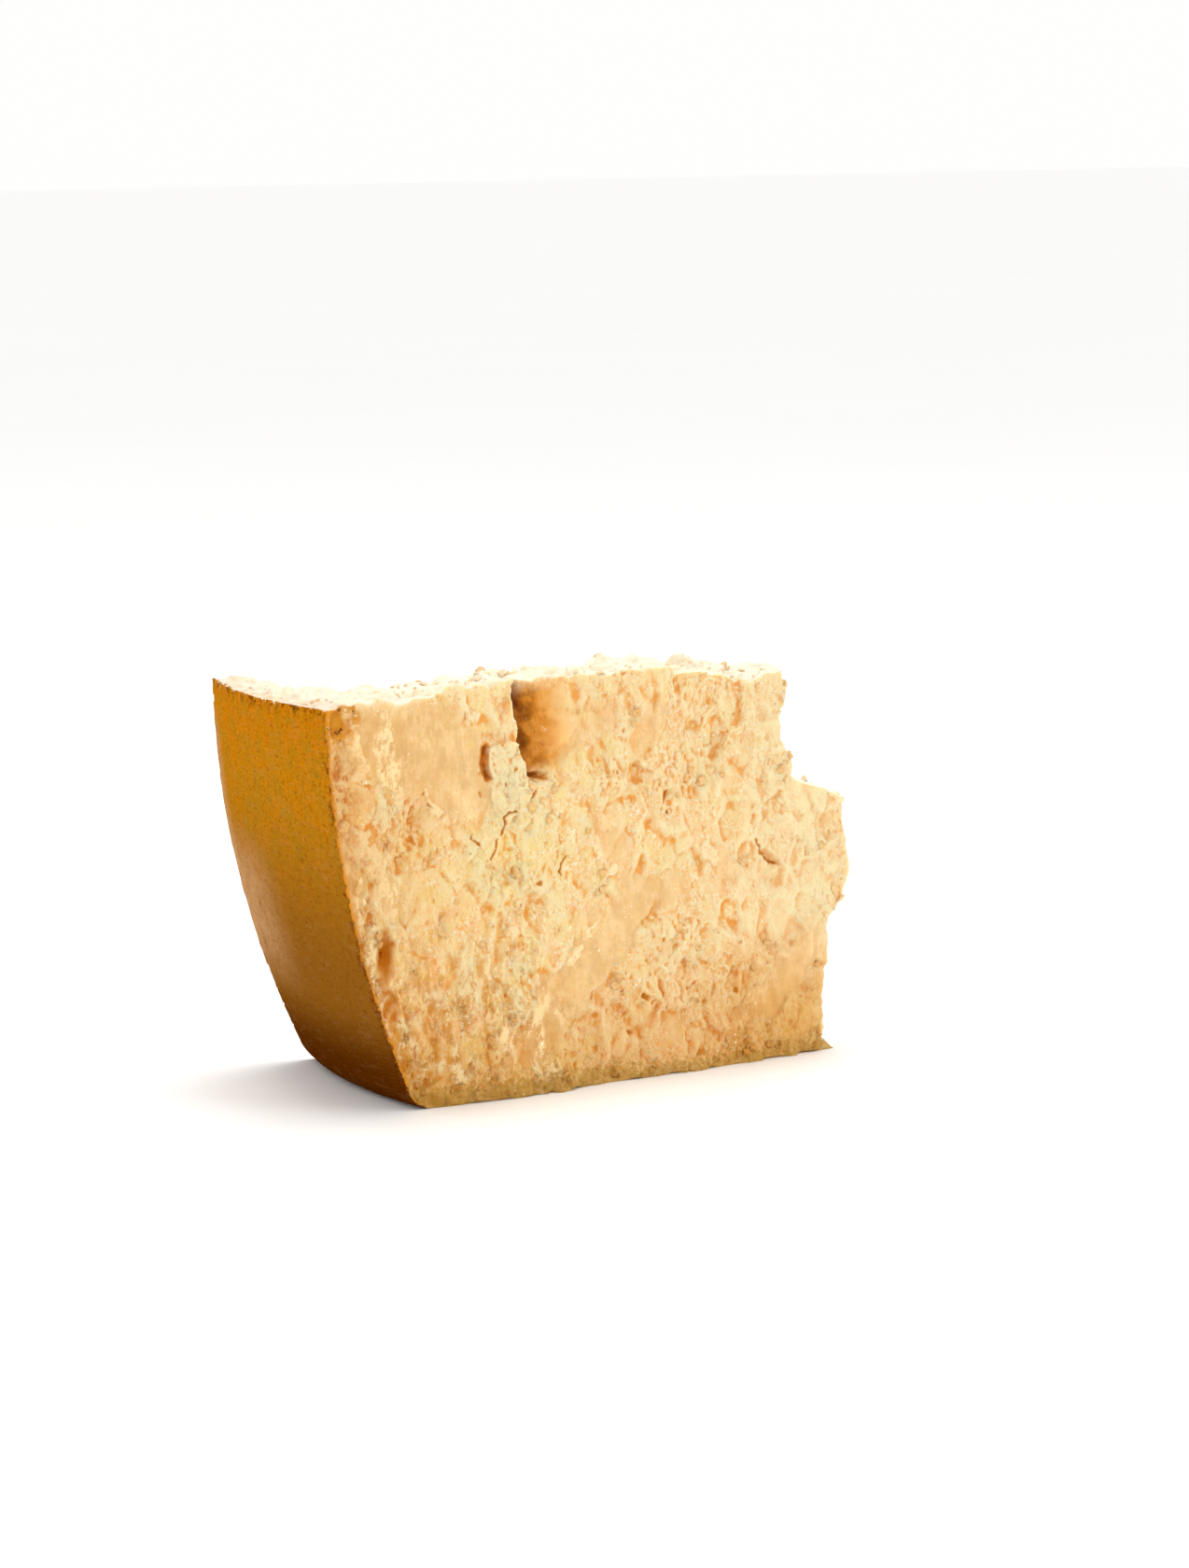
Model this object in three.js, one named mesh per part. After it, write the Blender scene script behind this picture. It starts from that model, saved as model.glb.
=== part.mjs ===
// Parmesan wedge: a piece broken by hand from half a wheel of hard cheese. It stands on the
// wheel's flat rind, the curved rind faces -X, the thin end +X, and the front break -Y.
// Millimetres, +Z up, resting on z = 0. The wedge is one piece, so it is one closed solid.

import * as THREE from 'three';

// ---- Driving dimensions, mm and degrees ----

const wheelRadius = 216;            // wheel's axis to the rind, at its widest height
const wheelAxis = [120.6, -3.5];    // where that axis stands, seen from above
const frontAngle = 12.5;            // front break, from the wedge's middle line
const backAngle = 13.8;             // back break, from the same line
const widestHeight = 124;           // height at which the rind stands upright
const rindBow = 285;                // radius of the rind's bow, seen from the side
const rindSkew = [4.6, 4.7];        // how much further out the back corner is, at bottom and top
const backLean = 5;                 // how far the back corner's foot stands out
const rindEdgeRound = 5;            // round of the rind's bottom edge
const tipWidth = 20;                // thickness of the thin end
const tipBulge = 1.5;               // how far the thin end swells between its corners
const tipSway = { depth: 2, pitch: 18 };  // and how its back corner wanders, going up
const meanLength = 180;             // inward distance of the thin end on the whole
const frontBelly = 3.2;             // how far the front break swells out low down
const bellyFrom = [28, 52];         // inward distances between which that swelling sets in
const bellyTop = 62;                // height where it has gone

// Inward distances, from wheelRadius, against heights: the thin end's broken outline.
const tipOutline = [
  [0, 183.5], [4, 179], [17, 178.4], [30, 180.4], [42, 183.4], [47, 189.6], [56, 191.6],
  [79, 189.8], [83, 181], [87, 169.6], [95, 167], [100, 163.8], [106, 164.4], [111, 168], [126, 166],
];
// Heights of the broken top against inward distances, along its front and its back edge.
const topFront = [
  [0, 122.6], [40, 122.4], [50, 124.2], [62, 126.4], [70, 124.7], [92, 125.2], [122, 126],
  [131, 124.4], [150, 119.8], [158, 120.6], [168, 121.8],
];
const topBack = [
  [0, 122.6], [12, 122.2], [18, 119.6], [36, 117.2], [46, 119.2], [54, 116.6], [64, 118.4],
  [74, 118], [84, 121.6], [140, 123], [170, 120.4],
];

// Flakes of the broken faces, largest first: cell size, rise and lean of a flake, and a seed.
const flakes = [
  { size: 17, rise: 1.1, lean: 1, seed: 11 },
  { size: 8, rise: 0.8, lean: 0.7, seed: 23 },
];
const flakeStretch = 1.5;           // flakes stand this much taller than wide
const topFlakeGain = 1.6;           // the split top is rougher than the breaks
const seamShare = 0.25;             // share of a flake's size over which its edge eases down
const breakInset = 0.6;             // mean depth of the broken faces behind their outline
const rindMargin = 7;               // width beside the rind over which the flakes set in

// The hollow that a knife has levered out of the front break, and the flake that it has raised.
const hollow = { left: 65.5, lip: 1.2, width: 36, depth: 9, foot: 92, full: 106 };
const raisedFlake = {
  left: 57.5, right: [68.5, 73.5], lip: 1.5, top: 107.5, widest: 93.5, full: 98, foot: 82, rise: 3,
};
const knifeSlit = { at: [74.5, 96.5], half: [5.2, 1.6], depth: 11 };

// Smaller marks of the front break: [inward, height], half sizes, turn in degrees and depth.
const dents = [
  { at: [19.5, 47], half: [3, 10.5], turn: 4, depth: 3 },          // brown dent by the rind
  { at: [21.5, 31], half: [2.2, 8], turn: 10, depth: 1.2 },        // its faint tail
  { at: [132.5, 109], half: [3.2, 11], turn: -10, depth: 3 },      // upright cavity at the top
  { at: [154.3, 77.5], half: [2.6, 4.6], turn: 0, depth: 4 },      // deep pit below the ledge
  { at: [164.4, 83], half: [2, 1.8], turn: 0, depth: 2.4 },
  { at: [135.4, 44.5], half: [2.6, 3.4], turn: 25, depth: 3 },
  { at: [116.5, 27.5], half: [1.6, 7.4], turn: -16, depth: 2.4 },  // curved crack
  { at: [161.5, 63.5], half: [1.5, 7.6], turn: -38, depth: 1.8 },  // slanting crack
  { at: [4.5, 118], half: [7, 6], turn: 0, depth: 2.4 },           // chipped corner by the rind
];
// Places where the break ran clean: both ends of each, half width and depth.
const cleanFacets = [
  { from: [22, 112], to: [50, 98], half: 15, depth: 0.2 },         // waxy field, upper left
  { from: [109, 55], to: [70, 15], half: 7.5, depth: 1.2 },        // slanting band
  { from: [168, 27], to: [152, 17], half: 5.5, depth: 0.8 },
  { from: [6, 84], to: [9, 60], half: 3.5, depth: 0.3 },           // beside the rind
];

const facetCalm = 0.8;              // share of the flakes that is missing there

// The grid: columns along each break, columns across the rind, the thin end, the top and the
// base, and rows up the sides.
const faceColumns = 46;
const acrossColumns = 15;
const sideRows = 34;

const cheese = { color: 0xf3d09b, roughness: 0.62, metalness: 0 };

// ---- Small helpers ----

const radians = (degrees) => THREE.MathUtils.degToRad(degrees);
const mix = (a, b, share) => a + (b - a) * share;
const clamp = (value) => THREE.MathUtils.clamp(value, 0, 1);
const rising = (value, from, to) => THREE.MathUtils.smoothstep(value, from, to);
const falling = (value, from, to) => 1 - rising(value, from, to);

// Height of a polyline of [x, y] points at x, level beyond its ends.
function along(points, x) {
  if (x <= points[0][0]) return points[0][1];
  for (let i = 1; i < points.length; i++) {
    const [x0, y0] = points[i - 1];
    const [x1, y1] = points[i];
    if (x <= x1) return mix(y0, y1, (x - x0) / (x1 - x0));
  }
  return points[points.length - 1][1];
}

// Shares from 0 to 1 that crowd round each of the given places.
function crowded(count, places, reach, gain) {
  const steps = 2000;
  const sums = [0];
  for (let i = 0; i < steps; i++) {
    const share = (i + 0.5) / steps;
    const near = places.map((place) => Math.exp(-(((share - place) / reach) ** 2)));
    sums.push(sums[i] + 1 + gain * Math.max(...near));
  }
  const shares = [];
  for (let k = 0, i = 0; k <= count; k++) {
    const target = (sums[steps] * k) / count;
    while (i < steps && sums[i + 1] < target) i++;
    const part = (target - sums[i]) / (sums[Math.min(i + 1, steps)] - sums[i] || 1);
    shares.push(Math.min((i + part) / steps, 1));
  }
  return shares;
}

// A repeatable random number from 0 to 1 for a cell of a grid.
function chance(i, j, k, seed) {
  let h = Math.imul(i, 374761393) + Math.imul(j, 668265263);
  h = h + Math.imul(k, 1440662683) + Math.imul(seed, 982451653);
  h = Math.imul(h ^ (h >>> 13), 1274126177);
  h = Math.imul(h ^ (h >>> 15), 2024237689);
  return ((h ^ (h >>> 16)) >>> 0) / 4294967296;
}

// Broken texture: space is shared out between scattered centres, and each share is a flat flake
// with its own rise and lean. Flakes meet in seams, where the level eases to the mean.
function flakeLevel(point, { size, rise, lean, seed }) {
  const q = [point[0] / size, point[1] / size, point[2] / (size * flakeStretch)];
  const home = q.map(Math.floor);
  let near = { d: 9 };
  let next = 9;
  for (let a = -1; a <= 1; a++) {
    for (let b = -1; b <= 1; b++) {
      for (let c = -1; c <= 1; c++) {
        const cell = [home[0] + a, home[1] + b, home[2] + c];
        const away = q.map((value, axis) => value - cell[axis] - chance(...cell, seed + axis));
        const d = Math.hypot(...away);
        if (d < near.d) {
          next = near.d;
          near = { d, cell, away };
        } else if (d < next) {
          next = d;
        }
      }
    }
  }
  const own = [3, 4, 5, 6].map((n) => 2 * chance(...near.cell, seed + n) - 1);
  const slope = own[1] * near.away[0] + own[2] * near.away[1] + own[3] * near.away[2];
  return (rise * own[0] + 2 * lean * slope) * rising(next - near.d, 0, seamShare);
}

// ---- The wedge's outline at a height ----

function rindRadius(z) {
  const below = Math.max(widestHeight - z, 0);
  const bow = rindBow - Math.sqrt(rindBow ** 2 - below ** 2);
  const low = Math.max(rindEdgeRound - z, 0);
  return wheelRadius - bow - (rindEdgeRound - Math.sqrt(rindEdgeRound ** 2 - low ** 2));
}

// A point of the rind, for a share of the way from the front corner to the back corner.
function rindPoint(share, z) {
  const angle = radians(mix(frontAngle, -backAngle, share));
  const up = Math.min(z / widestHeight, 1);
  const radius = rindRadius(z) + share * mix(...rindSkew, up);
  const lean = share * backLean * (1 - up);
  return [wheelAxis[0] - radius * Math.cos(angle), wheelAxis[1] - radius * Math.sin(angle) + lean];
}

function frontPoint(inward) {
  const radius = wheelRadius - inward;
  const angle = radians(frontAngle);
  return [wheelAxis[0] - radius * Math.cos(angle), wheelAxis[1] - radius * Math.sin(angle)];
}

// Inward distance of a face column: the columns give way only near the rind and the thin end.
function inwardDistance(share, z) {
  const atRind = (wheelRadius - rindRadius(z)) * falling(share, 0, 0.4);
  const atTip = (along(tipOutline, z) - meanLength) * rising(share, 0.6, 1);
  return share * meanLength + atRind + atTip;
}

const faceShares = crowded(faceColumns, [hollow.left / meanLength, 0.93], 0.04, 1.4);

// The closed outline at height z, counter-clockwise from above: front break, thin end, back break
// and rind. Each station has its place, its inward distance and its share of the way across, from
// the front break to the back break.
function outlineAt(z) {
  const rindInward = wheelRadius - rindRadius(z);
  const tipInward = along(tipOutline, z);
  const tipFront = frontPoint(tipInward);
  const sway = tipSway.depth * Math.sin(z / tipSway.pitch);
  const tipBack = [tipFront[0] - tipSway.depth + sway, tipFront[1] + tipWidth];
  const rindBack = rindPoint(1, z);
  const front = faceShares.map((share) => {
    const inward = inwardDistance(share, z);
    return { at: frontPoint(inward), inward, face: 'front', across: 0 };
  });
  const tip = [];
  for (let i = 1; i < acrossColumns; i++) {
    const share = i / acrossColumns;
    const bulge = tipBulge * Math.sin(Math.PI * share);
    const at = [mix(tipFront[0], tipBack[0], share) + bulge, mix(tipFront[1], tipBack[1], share)];
    tip.push({ at, inward: tipInward, face: 'tip', across: share });
  }
  const back = front.map(({ inward }) => {
    const share = (inward - rindInward) / (tipInward - rindInward);
    const at = [mix(rindBack[0], tipBack[0], share), mix(rindBack[1], tipBack[1], share)];
    return { at, inward, face: 'back', across: 1 };
  });
  const rind = [];
  for (let i = 1; i < acrossColumns; i++) {
    const share = 1 - i / acrossColumns;
    rind.push({ at: rindPoint(share, z), inward: rindInward, face: 'rind', across: share });
  }
  return [...front, ...tip, ...back.reverse(), ...rind];
}

// Outward direction at a station, from its two neighbours.
function outwardAt(outline, j) {
  const before = outline[(j + outline.length - 1) % outline.length].at;
  const after = outline[(j + 1) % outline.length].at;
  const run = [after[0] - before[0], after[1] - before[1]];
  const length = Math.hypot(...run);
  return [run[1] / length, -run[0] / length];
}

// ---- Marks of the front break ----

// How deep inside a turned oval a place lies: 1 at its middle, 0 from its rim outwards.
function ovalDepth(inward, z, { at, half, turn = 0 }) {
  const across = inward - at[0];
  const up = z - at[1];
  const c = Math.cos(radians(turn));
  const s = Math.sin(radians(turn));
  const reach = Math.hypot((across * c - up * s) / half[0], (across * s + up * c) / half[1]);
  return falling(reach, 0.3, 1.08);
}

function facetShare(inward, z, { from, to, half }) {
  const run = [to[0] - from[0], to[1] - from[1]];
  const rise = [inward - from[0], z - from[1]];
  const share = (rise[0] * run[0] + rise[1] * run[1]) / (run[0] ** 2 + run[1] ** 2);
  const nearest = clamp(share);
  const gap = Math.hypot(rise[0] - nearest * run[0], rise[1] - nearest * run[1]);
  return falling(gap / half, 0.7, 1.2);
}

// Steep at its left rim, easing out to the right and towards its foot.
function hollowDepth(inward, z) {
  const { left, lip, width, depth, foot, full } = hollow;
  const across = rising(inward, left, left + lip) * falling(inward, left, left + width);
  return depth * across * rising(z, foot, full);
}

function raisedShare(inward, z) {
  const { left, lip, top, widest, full, foot } = raisedFlake;
  const right = mix(...raisedFlake.right, clamp((top - z) / (top - widest)));
  const sides = rising(inward, left, left + lip) * falling(inward, right - lip, right);
  return sides * falling(z, top - lip, top) * rising(z, foot, full);
}

// Outward offset of the front break and how clean it broke there, from 0 (flaky) to 1 (smooth).
function frontMarks(inward, z) {
  const raised = raisedShare(inward, z);
  let offset = frontBelly * rising(inward, ...bellyFrom) * falling(z, 0, bellyTop);
  let clean = 0;
  for (const facet of cleanFacets) {
    const share = facetShare(inward, z, facet);
    offset -= facet.depth * share;
    clean = Math.max(clean, facetCalm * share);
  }
  for (const dent of dents) offset -= dent.depth * ovalDepth(inward, z, dent);
  offset -= knifeSlit.depth * ovalDepth(inward, z, knifeSlit) * (1 - raised);
  offset = mix(offset - hollowDepth(inward, z), raisedFlake.rise, raised);
  return { offset, clean: Math.max(clean, raised) };
}

// ---- The solid ----

function flakeRelief(point) {
  return flakes.reduce((sum, flake) => sum + flakeLevel(point, flake), -breakInset);
}

// Outward displacement of a station at height z.
function sideRelief(station, z) {
  if (station.face === 'rind') return 0;
  const rindDistance = station.inward - (wheelRadius - rindRadius(z));
  const relief = flakeRelief([...station.at, z]) * rising(rindDistance, 0, rindMargin);
  if (station.face !== 'front') return relief;
  const { offset, clean } = frontMarks(station.inward, z);
  return relief * (1 - clean) + offset * rising(rindDistance, -1, 3);
}

function place(outline, j, z) {
  const station = outline[j];
  const normal = outwardAt(outline, j);
  const relief = sideRelief(station, z);
  return [station.at[0] + normal[0] * relief, station.at[1] + normal[1] * relief];
}

// Height of the split top over a place. The share runs from the front edge to the back edge.
function topHeight(at, inward, share) {
  const level = mix(along(topFront, inward), along(topBack, inward), rising(share, 0, 1));
  const relief = flakeRelief([...at, level]) + breakInset;
  return level + topFlakeGain * relief * rising(inward, 0, rindMargin);
}

// The top or the base, which fills a ring of the outline: each column crosses from the front break
// to the back break, and the first and last follow the rind and the thin end. Inside the ring,
// heightAt(at, inward, share) gives the height.
function fillFace(ring, stations, heightAt) {
  const count = ring.length;
  const grid = [];
  const edge = (column, across) => {
    if (across === 0) return column;
    if (across === acrossColumns) return faceColumns + acrossColumns + (faceColumns - column);
    if (column === faceColumns) return faceColumns + across;
    if (column === 0) return count - across;
    return -1;
  };
  // Where a straight column would leave the curved end, and by how much.
  const endGap = (column, across, axis) => {
    const share = across / acrossColumns;
    const straight = mix(ring[edge(column, 0)][axis], ring[edge(column, acrossColumns)][axis], share);
    return ring[edge(column, across)][axis] - straight;
  };
  for (let column = 0; column <= faceColumns; column++) {
    const front = ring[edge(column, 0)];
    const back = ring[edge(column, acrossColumns)];
    const lengthwise = faceShares[column];
    grid.push([]);
    for (let across = 0; across <= acrossColumns; across++) {
      const index = edge(column, across);
      if (index >= 0) {
        grid[column].push({ index });
        continue;
      }
      const share = across / acrossColumns;
      const at = [0, 1].map((axis) => {
        const ends = [endGap(0, across, axis), endGap(faceColumns, across, axis)];
        return mix(front[axis], back[axis], share) + mix(...ends, lengthwise);
      });
      grid[column].push({ point: [...at, heightAt(at, stations[column].inward, share)] });
    }
  }
  return grid;
}

function wedgeGeometry() {
  const stations = outlineAt(widestHeight);
  const count = stations.length;
  const rowShares = crowded(sideRows, [0.02, 0.68, 0.98], 0.07, 0.8);
  const rims = stations.map((station, j) => {
    const at = place(stations, j, widestHeight);
    return topHeight(at, station.inward, station.across);
  });
  const rings = rowShares.map((share) =>
    rims.map((rim, j) => [...place(outlineAt(share * rim), j, share * rim), share * rim]),
  );
  const positions = rings.flat(2);
  const triangles = [];
  for (let row = 1; row < rings.length; row++) {
    const low = (row - 1) * count;
    for (let j = 0; j < count; j++) {
      const next = (j + 1) % count;
      triangles.push(low + j, low + next, low + count + next);
      triangles.push(low + j, low + count + next, low + count + j);
    }
  }

  // Base and top share the outer rings' points and add their own inside.
  const addFace = (ring, start, heightAt, facesUp) => {
    const indices = fillFace(ring, stations, heightAt).map((line) =>
      line.map(({ index, point }) =>
        point ? positions.push(...point) / 3 - 1 : start + index,
      ),
    );
    for (let column = 1; column < indices.length; column++) {
      for (let across = 1; across < indices[column].length; across++) {
        const [a, b] = [indices[column - 1][across - 1], indices[column][across - 1]];
        const [c, d] = [indices[column][across], indices[column - 1][across]];
        triangles.push(...(facesUp ? [a, b, c, a, c, d] : [a, c, b, a, d, c]));
      }
    }
  };
  addFace(rings[0], 0, () => 0, false);
  addFace(rings[sideRows], sideRows * count, topHeight, true);

  const geometry = new THREE.BufferGeometry();
  geometry.setAttribute('position', new THREE.Float32BufferAttribute(positions, 3));
  geometry.setIndex(triangles);
  geometry.computeVertexNormals();
  return geometry;
}

const wedge = new THREE.Mesh(wedgeGeometry(), new THREE.MeshStandardMaterial(cheese));
wedge.name = 'wedge';

const parmesanWedge = new THREE.Group();
parmesanWedge.add(wedge);

export default parmesanWedge;
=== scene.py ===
import math
from functools import partial, reduce
from itertools import product

import bmesh
import bpy
import numpy as np
from mathutils import Euler, Matrix, Vector


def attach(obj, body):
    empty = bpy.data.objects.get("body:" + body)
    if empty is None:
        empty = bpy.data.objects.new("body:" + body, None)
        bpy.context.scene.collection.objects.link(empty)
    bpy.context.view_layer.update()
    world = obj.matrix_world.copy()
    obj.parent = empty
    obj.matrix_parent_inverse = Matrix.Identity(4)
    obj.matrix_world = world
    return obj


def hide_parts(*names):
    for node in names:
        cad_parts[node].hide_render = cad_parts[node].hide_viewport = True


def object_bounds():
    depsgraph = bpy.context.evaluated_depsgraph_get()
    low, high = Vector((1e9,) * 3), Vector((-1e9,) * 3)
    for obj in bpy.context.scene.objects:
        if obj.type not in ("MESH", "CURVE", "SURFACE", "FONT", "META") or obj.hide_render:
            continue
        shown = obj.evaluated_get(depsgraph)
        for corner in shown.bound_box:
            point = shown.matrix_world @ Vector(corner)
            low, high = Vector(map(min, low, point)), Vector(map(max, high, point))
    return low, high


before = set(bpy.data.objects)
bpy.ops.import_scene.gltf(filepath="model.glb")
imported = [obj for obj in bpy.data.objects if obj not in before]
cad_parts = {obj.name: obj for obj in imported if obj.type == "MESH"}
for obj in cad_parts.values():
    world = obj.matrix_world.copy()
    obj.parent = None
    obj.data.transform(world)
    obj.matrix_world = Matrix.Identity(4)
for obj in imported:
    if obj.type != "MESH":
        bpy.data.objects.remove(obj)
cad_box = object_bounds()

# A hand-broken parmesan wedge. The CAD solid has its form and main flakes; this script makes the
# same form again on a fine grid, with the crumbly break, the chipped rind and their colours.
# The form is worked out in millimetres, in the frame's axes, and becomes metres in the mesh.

# ---- The wedge's dimensions, mm and degrees, as in the CAD source ----

WHEEL_RADIUS = 216.0           # wheel's axis to the rind, at its widest height
WHEEL_AXIS = (120.6, -3.5)     # where that axis stands, seen from above
FRONT_ANGLE = 12.5             # front break, from the wedge's middle line
BACK_ANGLE = 13.8              # back break, from the same line
WIDEST_HEIGHT = 124.0          # height at which the rind stands upright
RIND_BOW = 285.0               # radius of the rind's bow, seen from the side
RIND_SKEW = (4.6, 4.7)         # how much further out the back corner is, at bottom and top
BACK_LEAN = 5.0                # how far the back corner's foot stands out
RIND_EDGE_ROUND = 5.0          # round of the rind's bottom edge
TIP_WIDTH = 20.0               # thickness of the thin end
TIP_BULGE = 1.5                # how far the thin end swells between its corners
TIP_SWAY = (2.0, 18.0)         # depth and pitch of its back corner's wander, going up
TIP_CLIMB = 2.6                # how much higher its steps lie at the back than at the front
MEAN_LENGTH = 180.0            # inward distance of the thin end on the whole
RIND_REACH, TIP_REACH = 0.4, 0.4  # shares of the length over which each end bends the columns
FRONT_BELLY = 3.2              # how far the front break swells out low down
BELLY_FROM = (28.0, 52.0)      # inward distances between which that swelling sets in
BELLY_TOP = 62.0               # height where it has gone

# Inward distances of the thin end against heights, and the top's heights along both breaks.
TIP_OUTLINE = [
    (0, 183.5), (4, 179), (17, 178.4), (30, 180.4), (42, 183.4), (47, 189.6), (56, 191.6),
    (79, 189.8), (83, 181), (87, 169.6), (95, 167), (100, 163.8), (106, 164.4), (111, 168),
    (126, 166),
]
TOP_FRONT = [
    (0, 122.6), (40, 122.4), (50, 124.2), (62, 126.4), (70, 124.7), (92, 125.2), (122, 126),
    (131, 124.4), (150, 119.8), (158, 120.6), (168, 121.8),
]
TOP_BACK = [
    (0, 122.6), (12, 122.2), (18, 119.6), (36, 117.2), (46, 119.2), (54, 116.6), (64, 118.4),
    (74, 118), (84, 121.6), (140, 123), (170, 120.4),
]

# Flakes of the broken faces: cell size, rise and lean of a flake, and a seed.
MAIN_FLAKES = [(17.0, 1.1, 1.0, 11), (8.0, 0.8, 0.7, 23)]
FLAKE_STRETCH = 1.5            # flakes stand this much taller than wide
SEAM_SHARE = 0.25              # share of a flake's size over which its edge eases down
TOP_FLAKE_GAIN = 1.6           # the split top is rougher than the breaks
BREAK_INSET = 0.6              # mean depth of the broken faces behind their outline
RIND_MARGIN = 7.0              # width beside the rind over which the flakes set in
MARKS_FROM = (-1.0, 3.0)       # mm inside the rind over which the front break's marks set in

# The knife's hollow in the front break, the flake that it has raised, and its slit.
HOLLOW = dict(left=67.2, lip=2.2, width=36, depth=9, foot=92, full=106)
RAISED = dict(left=57, right=(67, 72.5), lip=0.5, top=107.5, widest=93.5, full=98,
              foot=82, rise=(0.9, 3), fray=(0.2, 0.5))  # fray: its left and its upper border's
KNIFE_SLIT = ((75, 96), (5, 1.1), 8, 7)

# Smaller marks of the front break: (inward, height), half sizes, turn in degrees and depth.
DENTS = [
    ((19.5, 47), (3.4, 10.5), 4, 1.4),
    ((21.5, 31), (2.4, 8), 10, 0.6),
    ((132.5, 109), (3.2, 11), -10, 0.8),
    ((154.3, 77.5), (2.2, 4.2), 0, 1.2),
    ((164.4, 83), (2, 1.8), 0, 0.9),
    ((134.4, 43.5), (1.6, 3.6), 25, 1.1),
    ((116.5, 27.5), (1.2, 7.4), -16, 1),
    ((161.5, 63.5), (1.5, 7.6), -38, 1.2),
    ((4.5, 118), (7, 6), 0, 2.4),
    ((4, 105.5), (3.4, 5.5), -12, 1.6),
]
# Places where the break ran clean: both ends of each, half width and depth.
CLEAN_FACETS = [
    ((22, 112), (50, 98), 15, 0.2),
    ((109, 55), (70, 15), 7.5, 0.8),
    ((168, 27), (152, 17), 5.5, 0.8),
    ((6, 84), (9, 60), 3.5, 0.3),
]
FACET_FRAY = (3.0, 8.0, 121)   # how far their borders stray, and size and seed of that
FACET_EDGE = (0.7, 1.2)        # where their borders start and end, as shares of the half width
FACET_CALM = 0.8               # share of the flakes that is missing there
FINE_CALM = 1.02               # how much more of the fine flakes is missing
OVAL_EDGE = (0.3, 1.08)        # where an oval mark starts to fade and ends, as shares of its half sizes
OUTLINE_FRAY = [(3.0, 1.1, 201), (1.4, 0.7, 211)]  # size, reach and seed of what frays small marks
RAISED_GRAIN = 0.25            # how much stronger the fine flakes are on the raised one
CRISP_ANGLE = 50.0             # degrees over which an edge is shown crisp

# The fine grid, and the triangles that are kept of it.
FACE_COLUMNS = 470             # along each break
ACROSS_COLUMNS = 150           # along the rind and along the thin end
SIDE_ROWS = 310                # from the foot to the top
WEDGE_TRIANGLES = 190000

MM = 0.001
TINY = 1e-12                   # keeps a vector without length from a division by zero


# ---- Small helpers ----

def mix(a, b, share):
    return a + (b - a) * share


def rising(value, start, end):
    share = np.clip((value - start) / (end - start), 0.0, 1.0)
    return share * share * (3.0 - 2.0 * share)


def falling(value, start, end):
    return 1.0 - rising(value, start, end)


def along(points, x):
    xs, ys = zip(*points)
    return np.interp(x, xs, ys)


def chance(i, j, k, seed):
    """A repeatable random number from 0 to 1 for each cell of a grid."""
    i, j, k = (np.asarray(n).astype(np.int64).astype(np.uint32) for n in (i, j, k))
    h = i * np.uint32(374761393) + j * np.uint32(668265263)
    h = h + k * np.uint32(1440662683) + np.uint32(seed * 982451653 & 0xFFFFFFFF)
    h = (h ^ (h >> np.uint32(13))) * np.uint32(1274126177)
    h = (h ^ (h >> np.uint32(15))) * np.uint32(2024237689)
    return (h ^ (h >> np.uint32(16))).astype(np.float64) / 2.0**32


def flake_level(points, size, rise, lean, seed):
    """Broken texture: flat flakes round scattered centres, each with its own rise and lean."""
    q = points / np.array([size, size, size * FLAKE_STRETCH])
    home = np.floor(q)
    near, after = np.full(len(q), np.inf), np.full(len(q), np.inf)
    cell, away = np.zeros_like(q), np.zeros_like(q)
    for step in product((-1, 0, 1), repeat=3):
        here = home + step
        centre = np.stack([chance(*here.T, seed + axis) for axis in range(3)], axis=1)
        offset = q - here - centre
        distance = np.sqrt((offset**2).sum(axis=1))
        closer = distance < near
        after = np.where(closer, near, np.minimum(after, distance))
        near = np.where(closer, distance, near)
        cell[closer] = here[closer]
        away[closer] = offset[closer]
    own = [2.0 * chance(*cell.T, seed + n) - 1.0 for n in (3, 4, 5, 6)]
    slope = own[1] * away[:, 0] + own[2] * away[:, 1] + own[3] * away[:, 2]
    seam = after - near
    return (rise * own[0] + 2.0 * lean * slope) * rising(seam, 0.0, SEAM_SHARE)


def cloud(points, size, seed):
    """Soft random swelling between -1 and 1."""
    q = points / size
    home = np.floor(q)
    part = q - home
    part = part * part * (3.0 - 2.0 * part)
    total = np.zeros(len(q))
    shares = (1.0 - part.T, part.T)
    for corner in product((0, 1), repeat=3):
        x, y, z = (shares[end][axis] for axis, end in enumerate(corner))
        total += x * y * z * chance(*(home + corner).T, seed)
    return 2.0 * total - 1.0


def ragged(points):
    """points moved about a little, so that what is laid out by them frays."""
    moved = points.copy()
    for size, reach, seed in RAGGED:
        moved += reach * np.stack([cloud(points, size, seed + axis) for axis in range(3)], axis=1)
    return moved


def in_plane(inward, z):
    """Places in the plane of the front break, as points."""
    return np.stack([inward.ravel(), np.zeros(z.size), z.ravel()], axis=1)


def ragged_place(inward, z):
    """The same as ragged for places in the plane of the front break."""
    moved = ragged(in_plane(inward, z))
    return moved[:, 0].reshape(z.shape), moved[:, 2].reshape(z.shape)


# ---- The outline at a height ----

def rind_radius(z):
    below = np.maximum(WIDEST_HEIGHT - z, 0.0)
    bow = RIND_BOW - np.sqrt(RIND_BOW**2 - below**2)
    low = np.maximum(RIND_EDGE_ROUND - z, 0.0)
    return WHEEL_RADIUS - bow - (RIND_EDGE_ROUND - np.sqrt(RIND_EDGE_ROUND**2 - low**2))


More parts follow.
